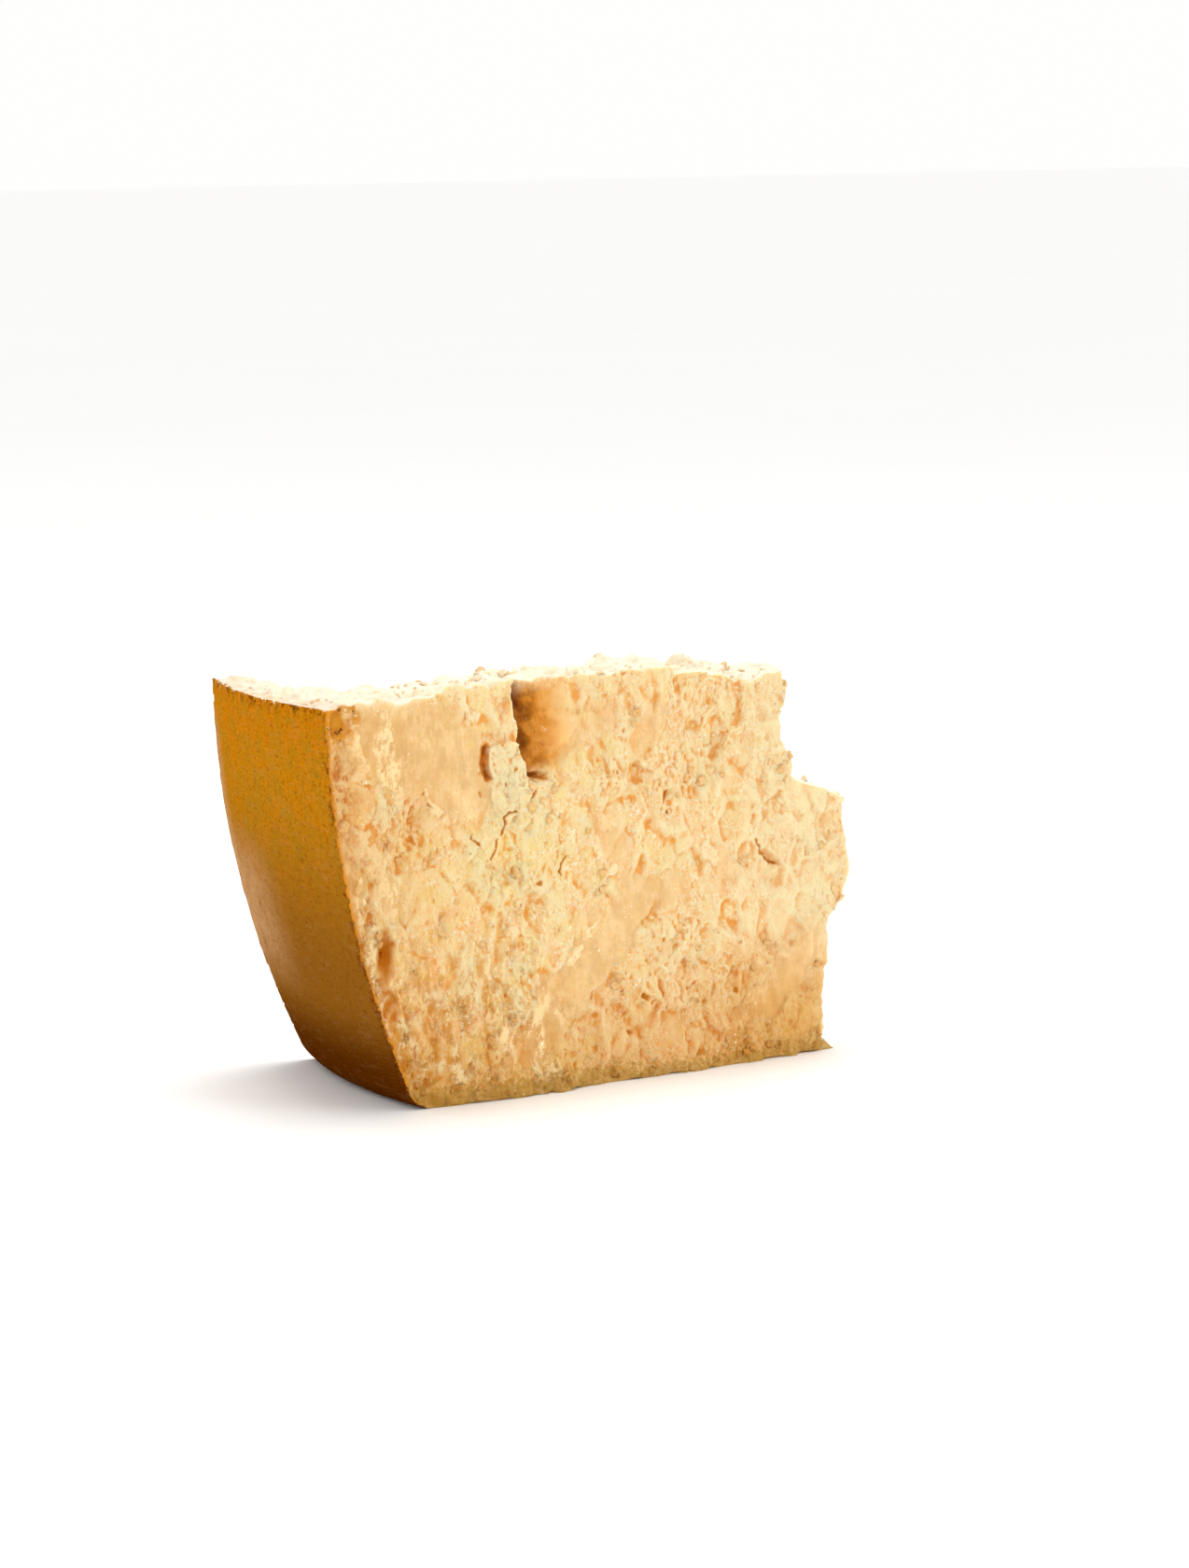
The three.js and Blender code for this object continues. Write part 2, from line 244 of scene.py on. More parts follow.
def rind_point(share, z):
    angle = np.radians(mix(FRONT_ANGLE, -BACK_ANGLE, share))
    up = np.minimum(z / WIDEST_HEIGHT, 1.0)
    radius = rind_radius(z) + share * mix(*RIND_SKEW, up)
    lean = share * BACK_LEAN * (1.0 - up)
    return WHEEL_AXIS[0] - radius * np.cos(angle), WHEEL_AXIS[1] - radius * np.sin(angle) + lean


def front_point(inward):
    radius = WHEEL_RADIUS - inward
    angle = math.radians(FRONT_ANGLE)
    return WHEEL_AXIS[0] - radius * math.cos(angle), WHEEL_AXIS[1] - radius * math.sin(angle)


def inward_distance(share, z):
    at_rind = (WHEEL_RADIUS - rind_radius(z)) * falling(share, 0.0, RIND_REACH)
    at_tip = (along(TIP_OUTLINE, z) - MEAN_LENGTH) * rising(share, 1.0 - TIP_REACH, 1.0)
    return share * MEAN_LENGTH + at_rind + at_tip


# Columns of the ring: front break, thin end, back break, rind, as slices of it.
LENGTHWISE = np.linspace(0.0, 1.0, FACE_COLUMNS + 1)
ACROSS = np.linspace(0.0, 1.0, ACROSS_COLUMNS + 1)[1:-1]
FRONT = slice(0, FACE_COLUMNS + 1)
TIP = slice(FRONT.stop, FRONT.stop + ACROSS_COLUMNS - 1)
BACK = slice(TIP.stop, TIP.stop + FACE_COLUMNS + 1)
RIND = slice(BACK.stop, BACK.stop + ACROSS_COLUMNS - 1)
RING = RIND.stop


def outline(z):
    """x, y, inward distance and share of the way across, for ring columns at heights z."""
    x, y, inward = np.zeros_like(z), np.zeros_like(z), np.zeros_like(z)
    across = np.zeros_like(z)
    inward[:, FRONT] = inward_distance(LENGTHWISE, z[:, FRONT])
    x[:, FRONT], y[:, FRONT] = front_point(inward[:, FRONT])

    def tip_corners(height, share):
        tip_inward = along(TIP_OUTLINE, height - TIP_CLIMB * share)
        front_x, front_y = front_point(tip_inward)
        sway = TIP_SWAY[0] * np.sin(height / TIP_SWAY[1])
        return tip_inward, front_x, front_y, front_x - TIP_SWAY[0] + sway, front_y + TIP_WIDTH

    inward[:, TIP], fx, fy, bx, by = tip_corners(z[:, TIP], ACROSS)
    x[:, TIP] = mix(fx, bx, ACROSS) + TIP_BULGE * np.sin(math.pi * ACROSS)
    y[:, TIP] = mix(fy, by, ACROSS)
    across[:, TIP] = ACROSS

    low = z[:, BACK]
    tip_inward, _, _, bx, by = tip_corners(low, 1.0)
    rind_inward = WHEEL_RADIUS - rind_radius(low)
    inward[:, BACK] = inward_distance(LENGTHWISE[::-1], low)
    share = (inward[:, BACK] - rind_inward) / (tip_inward - rind_inward)
    rx, ry = rind_point(1.0, low)
    x[:, BACK], y[:, BACK] = mix(rx, bx, share), mix(ry, by, share)
    across[:, BACK] = 1.0

    inward[:, RIND] = WHEEL_RADIUS - rind_radius(z[:, RIND])
    x[:, RIND], y[:, RIND] = rind_point(ACROSS[::-1], z[:, RIND])
    across[:, RIND] = ACROSS[::-1]
    return x, y, inward, across


# ---- Marks of the front break ----

def oval_depth(inward, z, mark):
    at, half, turn, _ = mark
    c, s = math.cos(math.radians(turn)), math.sin(math.radians(turn))
    across, up = inward - at[0], z - at[1]
    reach = np.hypot((across * c - up * s) / half[0], (across * s + up * c) / half[1])
    return falling(reach, *OVAL_EDGE)


def segment_gap(inward, z, start, end):
    """Distance from the straight line between two places."""
    run = (end[0] - start[0], end[1] - start[1])
    rise = (inward - start[0], z - start[1])
    share = np.clip((rise[0] * run[0] + rise[1] * run[1]) / (run[0] ** 2 + run[1] ** 2), 0, 1)
    return np.hypot(rise[0] - share * run[0], rise[1] - share * run[1])


def facet_share(inward, z, facet):
    start, end, half, _ = facet
    fray = FACET_FRAY[0] * cloud(in_plane(inward, z), *FACET_FRAY[1:]).reshape(z.shape)
    return falling((segment_gap(inward, z, start, end) + fray) / half, *FACET_EDGE)


def hollow_share(inward, z):
    left, lip, width = HOLLOW["left"], HOLLOW["lip"], HOLLOW["width"]
    across = rising(inward, left, left + lip) * falling(inward, left, left + width)
    return across * rising(z, HOLLOW["foot"], HOLLOW["full"])


def frayed(inward, z):
    """Uneven widths for the outlines of flakes, crusts and pits."""
    place = in_plane(inward, z)
    stray = sum(reach * cloud(place, size, seed) for size, reach, seed in OUTLINE_FRAY)
    return stray.reshape(z.shape)


def raised_share(inward, z):
    stray = frayed(inward, z)
    left, top = (RAISED[side] + share * stray for side, share in zip(("left", "top"), RAISED["fray"]))
    lip = RAISED["lip"]
    right = mix(*RAISED["right"], np.clip((top - z) / (top - RAISED["widest"]), 0.0, 1.0)) + stray
    sides = rising(inward, left, left + lip) * falling(inward, right - lip, right)
    return sides * falling(z, top - lip, top) * rising(z, RAISED["foot"], RAISED["full"])


def front_marks(inward, z):
    """Outward offset of the front break, and how clean it broke there."""
    raised = raised_share(inward, z)
    offset = FRONT_BELLY * rising(inward, *BELLY_FROM) * falling(z, 0.0, BELLY_TOP)
    clean = np.zeros_like(z)
    for facet in CLEAN_FACETS:
        share = facet_share(inward, z, facet)
        offset -= facet[3] * share
        clean = np.maximum(clean, FACET_CALM * share)
    for dent in DENTS:
        offset -= dent[3] * oval_depth(inward, z, dent)
    offset -= KNIFE_SLIT[3] * oval_depth(inward, z, KNIFE_SLIT) * (1.0 - raised)
    rise = mix(*RAISED["rise"], rising(inward, RAISED["left"], RAISED["right"][0]))
    offset = mix(offset - HOLLOW["depth"] * hollow_share(inward, z), rise, raised)
    return offset, np.maximum(clean, raised)


# ---- The solid ----

def main_relief(points):
    relief = np.full(len(points), -BREAK_INSET)
    for size, rise, lean, seed in MAIN_FLAKES:
        relief += flake_level(points, size, rise, lean, seed)
    return relief


def top_height(x, y, inward, share):
    level = mix(along(TOP_FRONT, inward), along(TOP_BACK, inward), rising(share, 0.0, 1.0))
    points = np.stack([x.ravel(), y.ravel(), level.ravel()], axis=1)
    relief = (main_relief(points) + BREAK_INSET).reshape(x.shape)
    return level + TOP_FLAKE_GAIN * relief * rising(inward, 0.0, RIND_MARGIN)


NORMAL_REACH = 11              # columns to either side that set the outward direction


def displaced(z):
    """The sides' points at heights z, with the main flakes and the front's marks."""
    x, y, inward, across = outline(z)
    run_x = np.roll(x, -NORMAL_REACH, axis=1) - np.roll(x, NORMAL_REACH, axis=1)
    run_y = np.roll(y, -NORMAL_REACH, axis=1) - np.roll(y, NORMAL_REACH, axis=1)
    length = np.hypot(run_x, run_y)
    gap = inward - (WHEEL_RADIUS - rind_radius(z))
    broken = np.ones(RING, bool)
    broken[RIND] = False
    points = np.stack([x, y, z], axis=2)[:, broken]
    relief = np.zeros_like(z)
    relief[:, broken] = main_relief(points.reshape(-1, 3)).reshape(len(z), -1)
    relief *= rising(gap, 0.0, RIND_MARGIN)
    offset, clean = front_marks(*ragged_place(inward[:, FRONT], z[:, FRONT]))
    relief[:, FRONT] = relief[:, FRONT] * (1.0 - clean)
    relief[:, FRONT] += offset * rising(gap[:, FRONT], *MARKS_FROM)
    return x + run_y / length * relief, y - run_x / length * relief, inward, across


def fill_ring(ring, inward, height_at):
    """The grid of points inside a ring, each column crossing from the front to the back break."""
    front, back = ring[FRONT], ring[BACK][::-1]
    tip = np.concatenate([front[-1:], ring[TIP], back[-1:]])
    rind = np.concatenate([front[:1], ring[RIND][::-1], back[:1]])
    share = np.linspace(0.0, 1.0, ACROSS_COLUMNS + 1)[:, None]
    grid = mix(front[:, None, :2], back[:, None, :2], share)
    rind_gap = rind[:, :2] - mix(front[0, :2], back[0, :2], share)
    tip_gap = tip[:, :2] - mix(front[-1, :2], back[-1, :2], share)
    grid = grid + mix(rind_gap, tip_gap, LENGTHWISE[:, None, None])
    inside = grid[1:-1, 1:-1]
    deep = np.broadcast_to(inward[FRONT][1:-1, None], inside.shape[:2])
    z = height_at(inside[..., 0], inside[..., 1], deep, share[1:-1, 0][None, :])
    return np.concatenate([inside, np.broadcast_to(z, inside.shape[:2])[..., None]], axis=2)


def wedge_arrays():
    """Points and triangles of the closed form on the fine grid."""
    level = np.full((1, RING), WIDEST_HEIGHT)
    x, y, inward, across = displaced(level)
    rim = top_height(x, y, inward, across)
    z = np.linspace(0.0, 1.0, SIDE_ROWS + 1)[:, None] * rim
    x, y, _, _ = displaced(z)
    sides = np.stack([x, y, z], axis=2)
    flat = fill_ring(sides[0], inward[0], lambda x, y, deep, share: np.zeros_like(x))
    top = fill_ring(sides[-1], inward[0], top_height)

    count = sides[..., 0].size
    index = np.arange(count).reshape(SIDE_ROWS + 1, RING)
    low, high = index[:-1], index[1:]
    after = np.roll(np.arange(RING), -1)
    triangles = [
        np.stack([low, low[:, after], high[:, after]], axis=2),
        np.stack([low, high[:, after], high], axis=2),
    ]

    def face(ring_index, start, shape, faces_up):
        grid = np.zeros((FACE_COLUMNS + 1, ACROSS_COLUMNS + 1), int)
        grid[:, 0] = ring_index[FRONT]
        grid[:, -1] = ring_index[BACK][::-1]
        grid[-1, 1:-1] = ring_index[TIP]
        grid[0, 1:-1] = ring_index[RIND][::-1]
        grid[1:-1, 1:-1] = start + np.arange(shape[0] * shape[1]).reshape(shape[:2])
        a, b, c, d = grid[:-1, :-1], grid[1:, :-1], grid[1:, 1:], grid[:-1, 1:]
        order = ((a, b, c), (a, c, d)) if faces_up else ((a, c, b), (a, d, c))
        return [np.stack(three, axis=2) for three in order]

    triangles += face(index[0], count, flat.shape, False)
    triangles += face(index[-1], count + flat[..., 0].size, top.shape, True)
    points = np.concatenate([part.reshape(-1, 3) for part in (sides, flat, top)])
    return points, np.concatenate([t.reshape(-1, 3) for t in triangles])


# ---- Work on a triangle mesh ----

def edges_of(triangles):
    """Each edge once, as one number that holds its two points."""
    pairs = np.sort(np.concatenate([triangles[:, ends] for ends in ([0, 1], [1, 2], [2, 0])]))
    return np.unique(pairs[:, 0].astype(np.int64) << 32 | pairs[:, 1])


def smoothed(values, edges, times):
    """values, averaged with their neighbours along the mesh's edges."""
    a, b = edges >> 32, edges & 0xFFFFFFFF
    count = len(values)
    share = 1.0 / (1.0 + np.bincount(a, minlength=count) + np.bincount(b, minlength=count))
    columns = values.reshape(count, -1).T
    for _ in range(times):
        columns = [
            (v + np.bincount(a, v[b], count) + np.bincount(b, v[a], count)) * share
            for v in columns
        ]
    return np.stack(columns, axis=1).reshape(values.shape)


def unit(vectors):
    return vectors / np.maximum(np.linalg.norm(vectors, axis=1), TINY)[:, None]


def vertex_normals(points, triangles):
    p, q, r = (points[triangles[:, n]] for n in range(3))
    faces = np.cross(q - p, r - p)
    normals = np.zeros_like(points)
    for n in range(3):
        for axis in range(3):
            normals[:, axis] += np.bincount(triangles[:, n], faces[:, axis], len(points))
    return unit(normals)


def new_object(name, points, faces):
    """A smooth shaded mesh object from points in mm."""
    mesh = bpy.data.meshes.new(name)
    mesh.from_pydata(points * MM, [], faces)
    mesh.update()
    mesh.shade_smooth()
    made = bpy.data.objects.new(name, mesh)
    bpy.context.scene.collection.objects.link(made)
    return made


def mesh_arrays(mesh):
    points = np.empty(len(mesh.vertices) * 3)
    mesh.vertices.foreach_get("co", points)
    mesh.calc_loop_triangles()
    triangles = np.empty(len(mesh.loop_triangles) * 3, np.int32)
    mesh.loop_triangles.foreach_get("vertices", triangles)
    return points.reshape(-1, 3) / MM, triangles.reshape(-1, 3)


def under_rind(points):
    """How far each point lies inside the curved rind, in mm."""
    dx, dy = WHEEL_AXIS[0] - points[:, 0], WHEEL_AXIS[1] - points[:, 1]
    z = np.clip(points[:, 2], 0.0, WIDEST_HEIGHT)
    turned = FRONT_ANGLE - np.degrees(np.arctan2(dy, dx))
    share = np.clip(turned / (FRONT_ANGLE + BACK_ANGLE), 0, 1)
    return rind_radius(z) + share * mix(*RIND_SKEW, z / WIDEST_HEIGHT) - np.hypot(dx, dy)


def arc_of(points):
    """Distance along the rind from the front break, in mm."""
    dx, dy = WHEEL_AXIS[0] - points[:, 0], WHEEL_AXIS[1] - points[:, 1]
    return (math.radians(FRONT_ANGLE) - np.arctan2(dy, dx)) * WHEEL_RADIUS


def inward_of(points):
    """Inward distance of points, along the front break, in mm."""
    angle = math.radians(FRONT_ANGLE)
    dx, dy = WHEEL_AXIS[0] - points[:, 0], WHEEL_AXIS[1] - points[:, 1]
    return WHEEL_RADIUS - (dx * math.cos(angle) + dy * math.sin(angle))


# ---- The crumbly break, finer than the solid ----

RAGGED = [(4.6, 0.7, 101), (1.7, 0.6, 111)]  # size, reach and seed of what frays the outlines
CALM_ZONE = (13.0, 131)        # size and seed of the zones that broke smooth or grainy
GRAINY_FROM = (-0.25, 0.35)    # swellings between which such a zone turns grainy
CALM_GAIN = (0.35, 1.2)        # the fine flakes' share in smooth and in grainy zones
# Layers that the small flakes broke off in: size of their outlines and how much taller than wide
# they are, how many layers a swelling of that size shows, rise of a layer in mm, and a seed.
LAYERS = [(9.0, 1.6, 2.2, 0.34, 37), (4.0, 1.4, 1.8, 0.15, 53)]
LAYER_EDGE = 0.3               # share of a layer over which its edge falls
TORN_OCTAVES, TORN_GAIN = 4, 0.62  # finer and finer swellings of a torn contour, each weaker
# Clefts: size, how much taller than wide, the swelling at which one starts and at which it is
# deepest, its depth in mm, and a seed. RIND_CLEFT is found in the paste beside the rind only, and
# RIND_NOTCH in the rind's upright and upper edges.
CLEFTS = [(5.5, 2.0, 0.85, 1.3, 1.2, 91), (2.6, 1.6, 0.9, 1.3, 0.6, 71)]
CLEFT_GAIN = (0.4, 1.0)        # their share in smooth and in grainy zones
RIND_CLEFT = (5.0, 1.7, 0.3, 0.75, 1.3, 181)
RIND_NOTCH = (3.2, 1.3, 0.25, 0.6, 1.1, 191)
RIND_WAVES = [(9.0, 0.16, 151), (2.6, 0.07, 157)]  # size, reach and seed of the rind's waves
EDGE_WEAR = (3.5, 141)         # size and seed of the worn stretches of the edges
WORN_FROM = (-0.3, 0.6)        # swellings between which such a stretch begins
WEAR_ROUNDS = 4                # rounds of smoothing that wear them
RIND_ARC = math.radians(FRONT_ANGLE + BACK_ANGLE) * WHEEL_RADIUS
RELIEF_ROUNDS = 8              # rounds of smoothing of the direction that the relief follows
# Ranges in mm over which relief comes or goes: inside the rind, above the foot, along the rind
# from its upright edges, and in height at its upper edge.
BREAK_INSIDE, BREAK_ABOVE = (0.3, 2.2), (0.1, 1.6)
RIND_INSIDE, RIND_ABOVE = (0.2, 1.2), (0.5, 3.0)
NOTCH_ARC, NOTCH_HEIGHT = (0.3, 1.8), (120.4, 121.8)
NOTCH_INSIDE, NOTCH_ABOVE = (0.5, 2.0), (2.0, 5.0)
CLEFT_INSIDE, CLEFT_OUTSIDE = (0.8, 2.5), (5.0, 13.0)

# Cracks of the front break: points of the route (inward, height), half width, depth, and how much
# further out their colour, a painted shade, reaches. The first, the gap beside the raised flake, has no
# breaks.
CRACKS = [
    ([(56.5, 107.2), (56, 102), (56.3, 97)], 1.1, 2.6, 1),
    ([(56.4, 97), (53, 93.5), (54.8, 88.5), (53.8, 85.5), (51.2, 83), (51.1, 80), (54, 77.5)],
     0.6, 0.8, 0.1),
    ([(65.8, 87.3), (63.5, 86.5), (62, 84.5), (62.4, 82), (61.6, 79.5)], 0.55, 0.8, 0.1),
    ([(59.4, 78), (59.8, 75.5), (57.8, 72.5)], 0.5, 0.7, 0.1),
    ([(73, 94), (73.6, 92.5), (72.6, 90.6)], 0.8, 2, 0.2),
    ([(156.5, 69), (158, 65.5), (162.5, 62), (165.8, 57.8)], 0.55, 0.7, 0.1),
    ([(84, 71), (82.5, 67), (84, 63.5)], 0.55, 0.7, 0.1),
    ([(121, 88), (119.4, 85), (120.6, 81)], 0.55, 0.7, 0.1),
]
CRACK_BREAKS = (3.2, 171)      # size and seed of the breaks in them
CRACK_OPEN = (-0.5, 0.2)       # swellings between which a crack opens
CRACK_EDGE = (0.2, 1.0)        # where a crack's or pit's floor and wall end, in half widths
SMOOTH_CALM = 0.75             # share of the small flakes that is missing in the patches below
PATCH_EDGE = (0.4, 1.3)        # where such a patch starts to fade and ends, in half widths
SMOOTH_PATCHES = [             # more places with few flakes: both ends and half width
    ((92, 50), (124, 58), 6), ((176, 34), (160, 22), 5),
    ((88, 108), (100, 112), 6), ((112, 102), (118, 112), 5),
    ((98, 80), (104, 68), 5), ((60, 20), (68, 12), 5),
    ((140, 66), (146, 60), 4), ((20, 70), (24, 60), 4),
]
SCAB_EDGE = (0.7, 1.05)        # where a crust starts to fall and ends, in half widths
# Pale crusts torn up from the front break: both ends of each, half width and rise.
SCABS = [
    ((13.5, 84), (11, 64), 2.2, 0.35), ((15.5, 74), (17.5, 57), 1.8, 0.3),
    ((4.6, 97), (5.4, 89), 2.6, 0.9), ((10, 113), (13, 101), 2.2, 0.45),
    ((18, 97), (20.5, 86), 1.9, 0.5), ((16, 80), (19, 68), 2.6, 0.4),
    ((33.6, 95.5), (40.6, 86.5), 1.1, 0.5), ((47, 121), (52, 116), 2.2, 0.4),
    ((94, 50), (84, 37), 1, 0.3), ((136.5, 70), (139, 64), 2.2, 0.5),
    ((120, 33), (124, 38), 2.2, 0.6), ((98, 62), (101, 66), 2, 0.5),
]
PIT_FRAY = 0.5                 # share of the fray that a pit's border has
# Single pits of the front break: place, radius and depth.
LONE_PITS = [
    ((62, 95.5), 0.8, 0.6), ((33.3, 94.8), 1.3, 0.7), ((36, 92), 0.9, 0.5),
    ((39.5, 78), 1, 0.6), ((72.7, 64.2), 1.4, 0.8), ((31.1, 81.3), 1.2, 0.6),
    ((111.4, 24.2), 1.6, 0.8), ((106.2, 14.6), 1.6, 0.8), ((145.2, 23.2), 1.5, 0.8),
]


def torn(points, size, stretch, seed):
    """A random swelling with ragged contours, between -1 and 1 for the most part."""
    place = points / np.array([1.0, 1.0, stretch])
    total = np.zeros(len(points))
    for octave in range(TORN_OCTAVES):
        total += cloud(place, size / 2.0**octave, seed + octave) * TORN_GAIN**octave
    return total


def layers(points, size, stretch, count, rise, seed):
    """Layers that lie on each other with crisp torn edges, in mm outward."""
    level = torn(points, size, stretch, seed) * count
    whole = np.floor(level)
    return rise * (whole + rising(level - whole, 1.0 - LAYER_EDGE, 1.0))


def clefts(points, size, stretch, start, end, depth, seed):
    """Scattered ragged clefts, taller than wide, in mm outward."""
    return -depth * rising(torn(points, size, stretch, seed), start, end)


def crack_share(inward, z, route, half):
    gaps = [segment_gap(inward, z, start, end) for start, end in zip(route, route[1:])]
    return falling(np.minimum.reduce(gaps) / half, *CRACK_EDGE)


def smooth_share(inward, z):
    """How far the front break is one of its smoother places."""
    shares = [falling(segment_gap(inward, z, start, end) / half, *PATCH_EDGE)
              for start, end, half in SMOOTH_PATCHES]
    return SMOOTH_CALM * np.maximum.reduce(shares)


def clean_share(inward, z):
    """The same, with the facets where the break ran clean."""
    facets = [facet_share(inward, z, facet) for facet in CLEAN_FACETS]
    return np.maximum.reduce([smooth_share(inward, z), *facets])


def scab_share(inward, z, scab):
    start, end, half, _ = scab
    gap = segment_gap(inward, z, start, end) + frayed(inward, z)
    return falling(gap / half, *SCAB_EDGE)


def crack_shares(inward, z, stained=False):
    """For each crack, how far a place lies in it, or, with stained set, in the wider reach of its
    painted shade.
    """
    kept = rising(cloud(in_plane(inward, z), *CRACK_BREAKS), *CRACK_OPEN)
    for number, (route, half, _, shade_reach) in enumerate(CRACKS):
        share = crack_share(inward, z, route, half + shade_reach * stained)
        yield share if number == 0 else share * kept


def fine_marks(inward, z):
    """Outward offset of the crusts, cracks and single pits of the front break."""
    offset = sum(scab[3] * scab_share(inward, z, scab) for scab in SCABS)
    for (_, _, depth, _), share in zip(CRACKS, crack_shares(inward, z)):
        offset = mix(offset, -depth, share)
    for at, radius, depth in LONE_PITS:
        gap = np.hypot(inward - at[0], z - at[1]) + PIT_FRAY * frayed(inward, z)
        offset = mix(offset, -depth, falling(gap / radius, *CRACK_EDGE))
    return offset


def fine_relief(points, calm):
    """The small flakes, grains and pits of a broken face, in mm along its normal."""
    relief = sum(layers(points, *layer) for layer in LAYERS)
    grainy = rising(cloud(points, *CALM_ZONE), *GRAINY_FROM)
    relief *= mix(*CALM_GAIN, grainy)
    relief += sum(clefts(points, *cleft) for cleft in CLEFTS) * mix(*CLEFT_GAIN, grainy)
    inside = under_rind(points)
    beside_rind = rising(inside, *CLEFT_INSIDE) * falling(inside, *CLEFT_OUTSIDE)
    relief += clefts(points, *RIND_CLEFT) * beside_rind
    return relief * (1.0 - calm)


FRONT_FACING = (0.5, 0.8)      # cosines to the front break's direction


def front_share(normals):
    """1 where a surface faces as the front break does, 0 where it turns away."""
    angle = math.radians(FRONT_ANGLE)
    return rising(normals @ np.array([math.sin(angle), -math.cos(angle), 0.0]), *FRONT_FACING)


def build_wedge():
    points, triangles = wedge_arrays()
    edges = edges_of(triangles)
    worn = smoothed(points, edges, WEAR_ROUNDS)
    points = mix(points, worn, rising(cloud(points, *EDGE_WEAR), *WORN_FROM)[:, None])
    normals = unit(smoothed(vertex_normals(points, triangles), edges, RELIEF_ROUNDS))

    inside, z = under_rind(points), points[:, 2]
    broken = rising(inside, *BREAK_INSIDE) * rising(z, *BREAK_ABOVE)
    inward, height = ragged_place(inward_of(points), z)
    on_front = front_share(normals)
    calm = np.maximum(FINE_CALM * front_marks(inward, height)[1], smooth_share(inward, height))
    calm *= on_front
    calm = mix(calm, -RAISED_GRAIN, raised_share(inward, height) * on_front)
    moving = broken > 0.0
    relief = np.zeros(len(points))
    relief[moving] = fine_relief(points[moving], calm[moving]) * broken[moving]
    relief += fine_marks(inward, height) * on_front * broken
    on_rind = falling(inside, *RIND_INSIDE) * rising(z, *RIND_ABOVE)
    for size, reach, seed in RIND_WAVES:
        relief += reach * (cloud(points, size, seed) - 1.0) * on_rind
    arc = arc_of(points)
    from_corner = falling(np.minimum(arc, RIND_ARC - arc), *NOTCH_ARC)
    at_edge = np.maximum(from_corner, rising(height, *NOTCH_HEIGHT)) * falling(inside, *NOTCH_INSIDE)
    relief += clefts(points, *RIND_NOTCH) * at_edge * rising(height, *NOTCH_ABOVE)

    made = new_object("parmesan_wedge", points + normals * relief[:, None], triangles.tolist())
    thin(made, WEDGE_TRIANGLES)
    keep_in_box(made.data)
    made.data.set_sharp_from_angle(angle=math.radians(CRISP_ANGLE))
    return made


def keep_in_box(mesh):
    low, high = (np.array(corner) for corner in cad_box)
    points = np.empty(len(mesh.vertices) * 3)
    mesh.vertices.foreach_get("co", points)
    mesh.vertices.foreach_set("co", np.clip(points.reshape(-1, 3), low, high).ravel())
    mesh.update()


def thin(made, count):
    """Leaves about that many triangles, most of them where the surface is rough."""
    modifier = made.modifiers.new("thin", "DECIMATE")
    modifier.ratio = count / len(made.data.polygons)
    applied = bpy.data.meshes.new_from_object(
        made.evaluated_get(bpy.context.evaluated_depsgraph_get()))
    made.modifiers.clear()
    made.data = applied


# ---- What the colours need to know of each point ----

def set_attribute(mesh, name, values):
    attribute = mesh.attributes.new(name, "FLOAT", "POINT")
    attribute.data.foreach_set("value", values.astype(np.float32))


# Rounds of smoothing along the mesh's edges: how deep a place lies below its near and its far
# surroundings, which way it faces as part of a flake, and as part of a whole side.
SUNK_ROUNDS = {"recess": 3, "valley": 45}
FACING_ROUNDS, FRONT_ROUNDS = 15, 45
DEPTH_MOST = 60.0              # mm, the deepest place inside the rind that is told apart
DRIED_DENT = 0                 # the dent whose floor has dried to amber
AMBER_FROM = (0.05, 0.5)       # shares of the hollow's depth over which its painted shade sets in
AMBER_FADE = (80.0, 95.0)      # inward distances over which the painted shade of the knife's hollow pales
FRESH = ((62.0, 80.0), (26.0, 36.0))  # the paler cheese round the knife's mark: place, half sizes
FRESH_EDGE = (0.3, 1.0)        # where it starts to fade and ends, as shares of those


def mark_surface(mesh):
    points, triangles = mesh_arrays(mesh)
    edges = edges_of(triangles)
    normals = vertex_normals(points, triangles)
    for name, rounds in SUNK_ROUNDS.items():
        sunk = ((smoothed(points, edges, rounds) - points) * normals).sum(axis=1)
        set_attribute(mesh, name, sunk)
    facing = unit(smoothed(normals, edges, FACING_ROUNDS))
    on_front = front_share(smoothed(facing, edges, FRONT_ROUNDS))
    plain_inward = inward_of(points)
    inward, z = ragged_place(plain_inward, points[:, 2])
    raised = raised_share(inward, z)
    # painted shade in the knife's hollow and slit; the dried dent's amber is its own colour
    in_hollow = rising(hollow_share(inward, z), *AMBER_FROM) * falling(inward, *AMBER_FADE)
    shade_and_dried = np.maximum(in_hollow, oval_depth(inward, z, KNIFE_SLIT)) * (1.0 - raised)
    shade_and_dried = np.maximum(shade_and_dried, oval_depth(inward, z, DENTS[DRIED_DENT]))
    # where cracks, pits and the gap beside the raised flake get their painted shade
    sunken = np.clip(-fine_marks(inward, z), 0.0, 1.0)
    cracked = np.maximum.reduce([sunken, *crack_shares(inward, z, True)])
    pale = np.maximum.reduce([raised] + [scab_share(inward, z, scab) for scab in SCABS])
    at, half = FRESH
    fresh = falling(np.hypot((inward - at[0]) / half[0], (z - at[1]) / half[1]), *FRESH_EDGE)
    clean = clean_share(inward, z) * (1.0 - raised)
    for name, share in dict(clean=clean, shade_and_dried=shade_and_dried, cracked=cracked, pale=pale, fresh=fresh).items():
        set_attribute(mesh, name, share * on_front)
    set_attribute(mesh, "front", on_front)
    set_attribute(mesh, "depth", np.minimum(under_rind(points), DEPTH_MOST))
    set_attribute(mesh, "arc", arc_of(points))
    set_attribute(mesh, "inward", plain_inward)
    set_attribute(mesh, "upward", facing[:, 2])
    set_attribute(mesh, "steep", 1.0 - (normals * facing).sum(axis=1))


# ---- Crumbs that cling to the break ----

